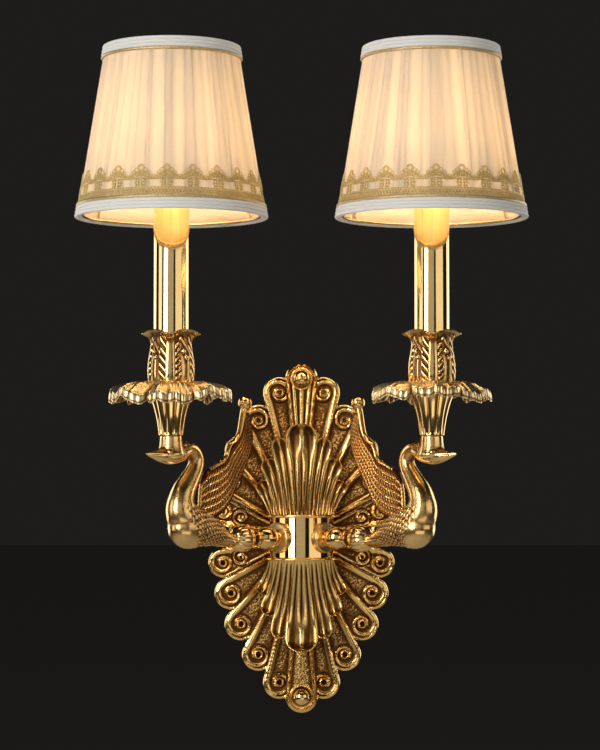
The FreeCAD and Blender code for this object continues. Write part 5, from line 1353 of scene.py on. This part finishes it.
def turned_copies():
    """Node tree that sets copies of one motif evenly round the Z axis, as real mesh."""
    tree = bpy.data.node_groups.new("copies_round_axis", "GeometryNodeTree")
    sockets = {}
    for name, kind in (("Motif", "NodeSocketObject"), ("Copies", "NodeSocketInt"),
                       ("Place", "NodeSocketVector"), ("Finish", "NodeSocketMaterial")):
        sockets[name] = tree.interface.new_socket(name, in_out="INPUT", socket_type=kind).identifier
    tree.interface.new_socket("Mesh", in_out="OUTPUT", socket_type="NodeSocketGeometry")
    nodes, links = tree.nodes, tree.links
    given = nodes.new("NodeGroupInput")
    motif = nodes.new("GeometryNodeObjectInfo")
    spots = nodes.new("GeometryNodePoints")
    number = nodes.new("GeometryNodeInputIndex")
    step = nodes.new("ShaderNodeMath")
    step.operation = "DIVIDE"
    step.inputs[0].default_value = 2 * math.pi
    turn = nodes.new("ShaderNodeMath")
    turn.operation = "MULTIPLY"
    angles = nodes.new("ShaderNodeCombineXYZ")
    copies = nodes.new("GeometryNodeInstanceOnPoints")
    real = nodes.new("GeometryNodeRealizeInstances")
    finish = nodes.new("GeometryNodeSetMaterial")
    result = nodes.new("NodeGroupOutput")
    links.new(given.outputs["Motif"], motif.inputs["Object"])
    links.new(given.outputs["Copies"], spots.inputs["Count"])
    links.new(given.outputs["Place"], spots.inputs["Position"])
    links.new(given.outputs["Copies"], step.inputs[1])
    links.new(number.outputs[0], turn.inputs[0])
    links.new(step.outputs[0], turn.inputs[1])
    links.new(turn.outputs[0], angles.inputs["Z"])
    links.new(spots.outputs[0], copies.inputs["Points"])
    links.new(motif.outputs["Geometry"], copies.inputs["Instance"])
    links.new(angles.outputs[0], copies.inputs["Rotation"])
    links.new(copies.outputs[0], real.inputs[0])
    links.new(real.outputs[0], finish.inputs["Geometry"])
    links.new(given.outputs["Finish"], finish.inputs["Material"])
    links.new(finish.outputs["Geometry"], result.inputs[0])
    return tree, sockets


motif_points, motif_faces = lace_motif()
motif_object = in_scene("lace_motif", mesh_of("lace_motif", motif_points, motif_faces))
copies_tree, copies_inputs = turned_copies()
for side, sign in SIDES:
    maker = in_scene("lace_maker", bpy.data.meshes.new("lace_maker"))
    rule = maker.modifiers.new("copies", "NODES")
    rule.node_group = copies_tree
    rule[copies_inputs["Motif"]] = motif_object
    rule[copies_inputs["Copies"]] = LACE_MOTIFS
    rule[copies_inputs["Place"]] = (sign * CANDLE_X * MM, CANDLE_Y * MM, 0.0)
    rule[copies_inputs["Finish"]] = gilt_thread
    bpy.context.view_layer.update()
    lace_mesh = bpy.data.meshes.new_from_object(maker.evaluated_get(bpy.context.evaluated_depsgraph_get()))
    bpy.data.objects.remove(maker)
    lace_mesh.name = side + "_gilt_lace"
    lace = in_scene(side + "_gilt_lace", lace_mesh)
    lace_mesh.polygons.foreach_set("use_smooth", [True] * len(lace_mesh.polygons))
    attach(lace, side + "_shade")
    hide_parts(side + "_shade_lace")
bpy.data.objects.remove(motif_object)

# ---------------------------------------------------------------- floor and light
# A pale floor lies well below the sconce, out of the panels' light, so it looks dark. Large soft
# panels stand round the sconce with dark gaps between them, which draw the stripes on the tubes and
# drum. The lamps are on, so each shade glows.
FLOOR_HALF, FLOOR_HEIGHT = 60, -1.3
floor_mesh = bpy.data.meshes.new("studio_floor")
floor_mesh.from_pydata([(x * FLOOR_HALF, y * FLOOR_HALF, FLOOR_HEIGHT)
                        for x, y in ((-1, -1), (1, -1), (1, 1), (-1, 1))], [], [(0, 1, 2, 3)])
floor = in_scene("studio_floor", floor_mesh)
floor_finish, _, _, floor_shader = new_finish("pale_floor")
floor_shader.inputs["Base Color"].default_value = (0.66, 0.65, 0.63, 1)
floor_shader.inputs["Roughness"].default_value = 0.8
floor_mesh.materials.append(floor_finish)


def light_panel(name, azimuth, distance, height, size, radiance, colour=(1.0, 0.97, 0.92)):
    """A soft panel aimed at the sconce; azimuth is 0 at the camera's side and grows to the right."""
    lamp = bpy.data.lights.new(name, "AREA")
    lamp.shape = "RECTANGLE"
    lamp.size, lamp.size_y = size
    lamp.energy = radiance * math.pi * size[0] * size[1]
    lamp.color = colour
    turn = math.radians(azimuth)
    stand = in_scene(name, lamp)
    stand.location = (distance * math.sin(turn), -distance * math.cos(turn), height)
    stand.rotation_euler = (Vector((0, -0.06, 0.12)) - stand.location).to_track_quat("-Z", "Y").to_euler()
    stand.visible_camera = False


light_panel("key_panel", -35, 2.2, 0.55, (0.85, 1.5), 6.5)
light_panel("right_panel", 50, 2.3, 0.45, (2.0, 1.5), 0.95, (1.0, 0.93, 0.80))
light_panel("front_panel", -3, 2.5, 0.55, (1.5, 1.6), 0.42, (1.0, 0.96, 0.88))
light_panel("left_panel", -72, 2.2, 0.35, (0.9, 1.5), 1.3, (1.0, 0.95, 0.86))
light_panel("left_back_panel", -128, 2.2, 0.3, (1.5, 1.7), 1.9)
light_panel("right_back_panel", 128, 2.2, 0.3, (1.5, 1.7), 1.9)
light_panel("top_panel", 0, 0.5, 1.9, (1.4, 0.8), 1.6)
light_panel("low_panel", 10, 1.7, -0.75, (1.5, 0.4), 1.2, (1.0, 0.92, 0.80))
for side, sign in SIDES:
    lamp = bpy.data.lights.new(side + "_lamp_glow", "POINT")
    lamp.energy = 3.3
    lamp.color = (1.0, 0.93, 0.80)
    lamp.shadow_soft_size = 0.012
    glow = in_scene(side + "_lamp_glow", lamp)
    glow.location = (sign * CANDLE_X * MM, CANDLE_Y * MM, 0.322)
studio = bpy.data.worlds.new("studio")
studio.use_nodes = True
studio.node_tree.nodes["Background"].inputs["Color"].default_value = (0.90, 0.86, 0.80, 1)
studio.node_tree.nodes["Background"].inputs["Strength"].default_value = 0.014
bpy.context.scene.world = studio
bpy.context.scene.view_settings.view_transform = "Standard"
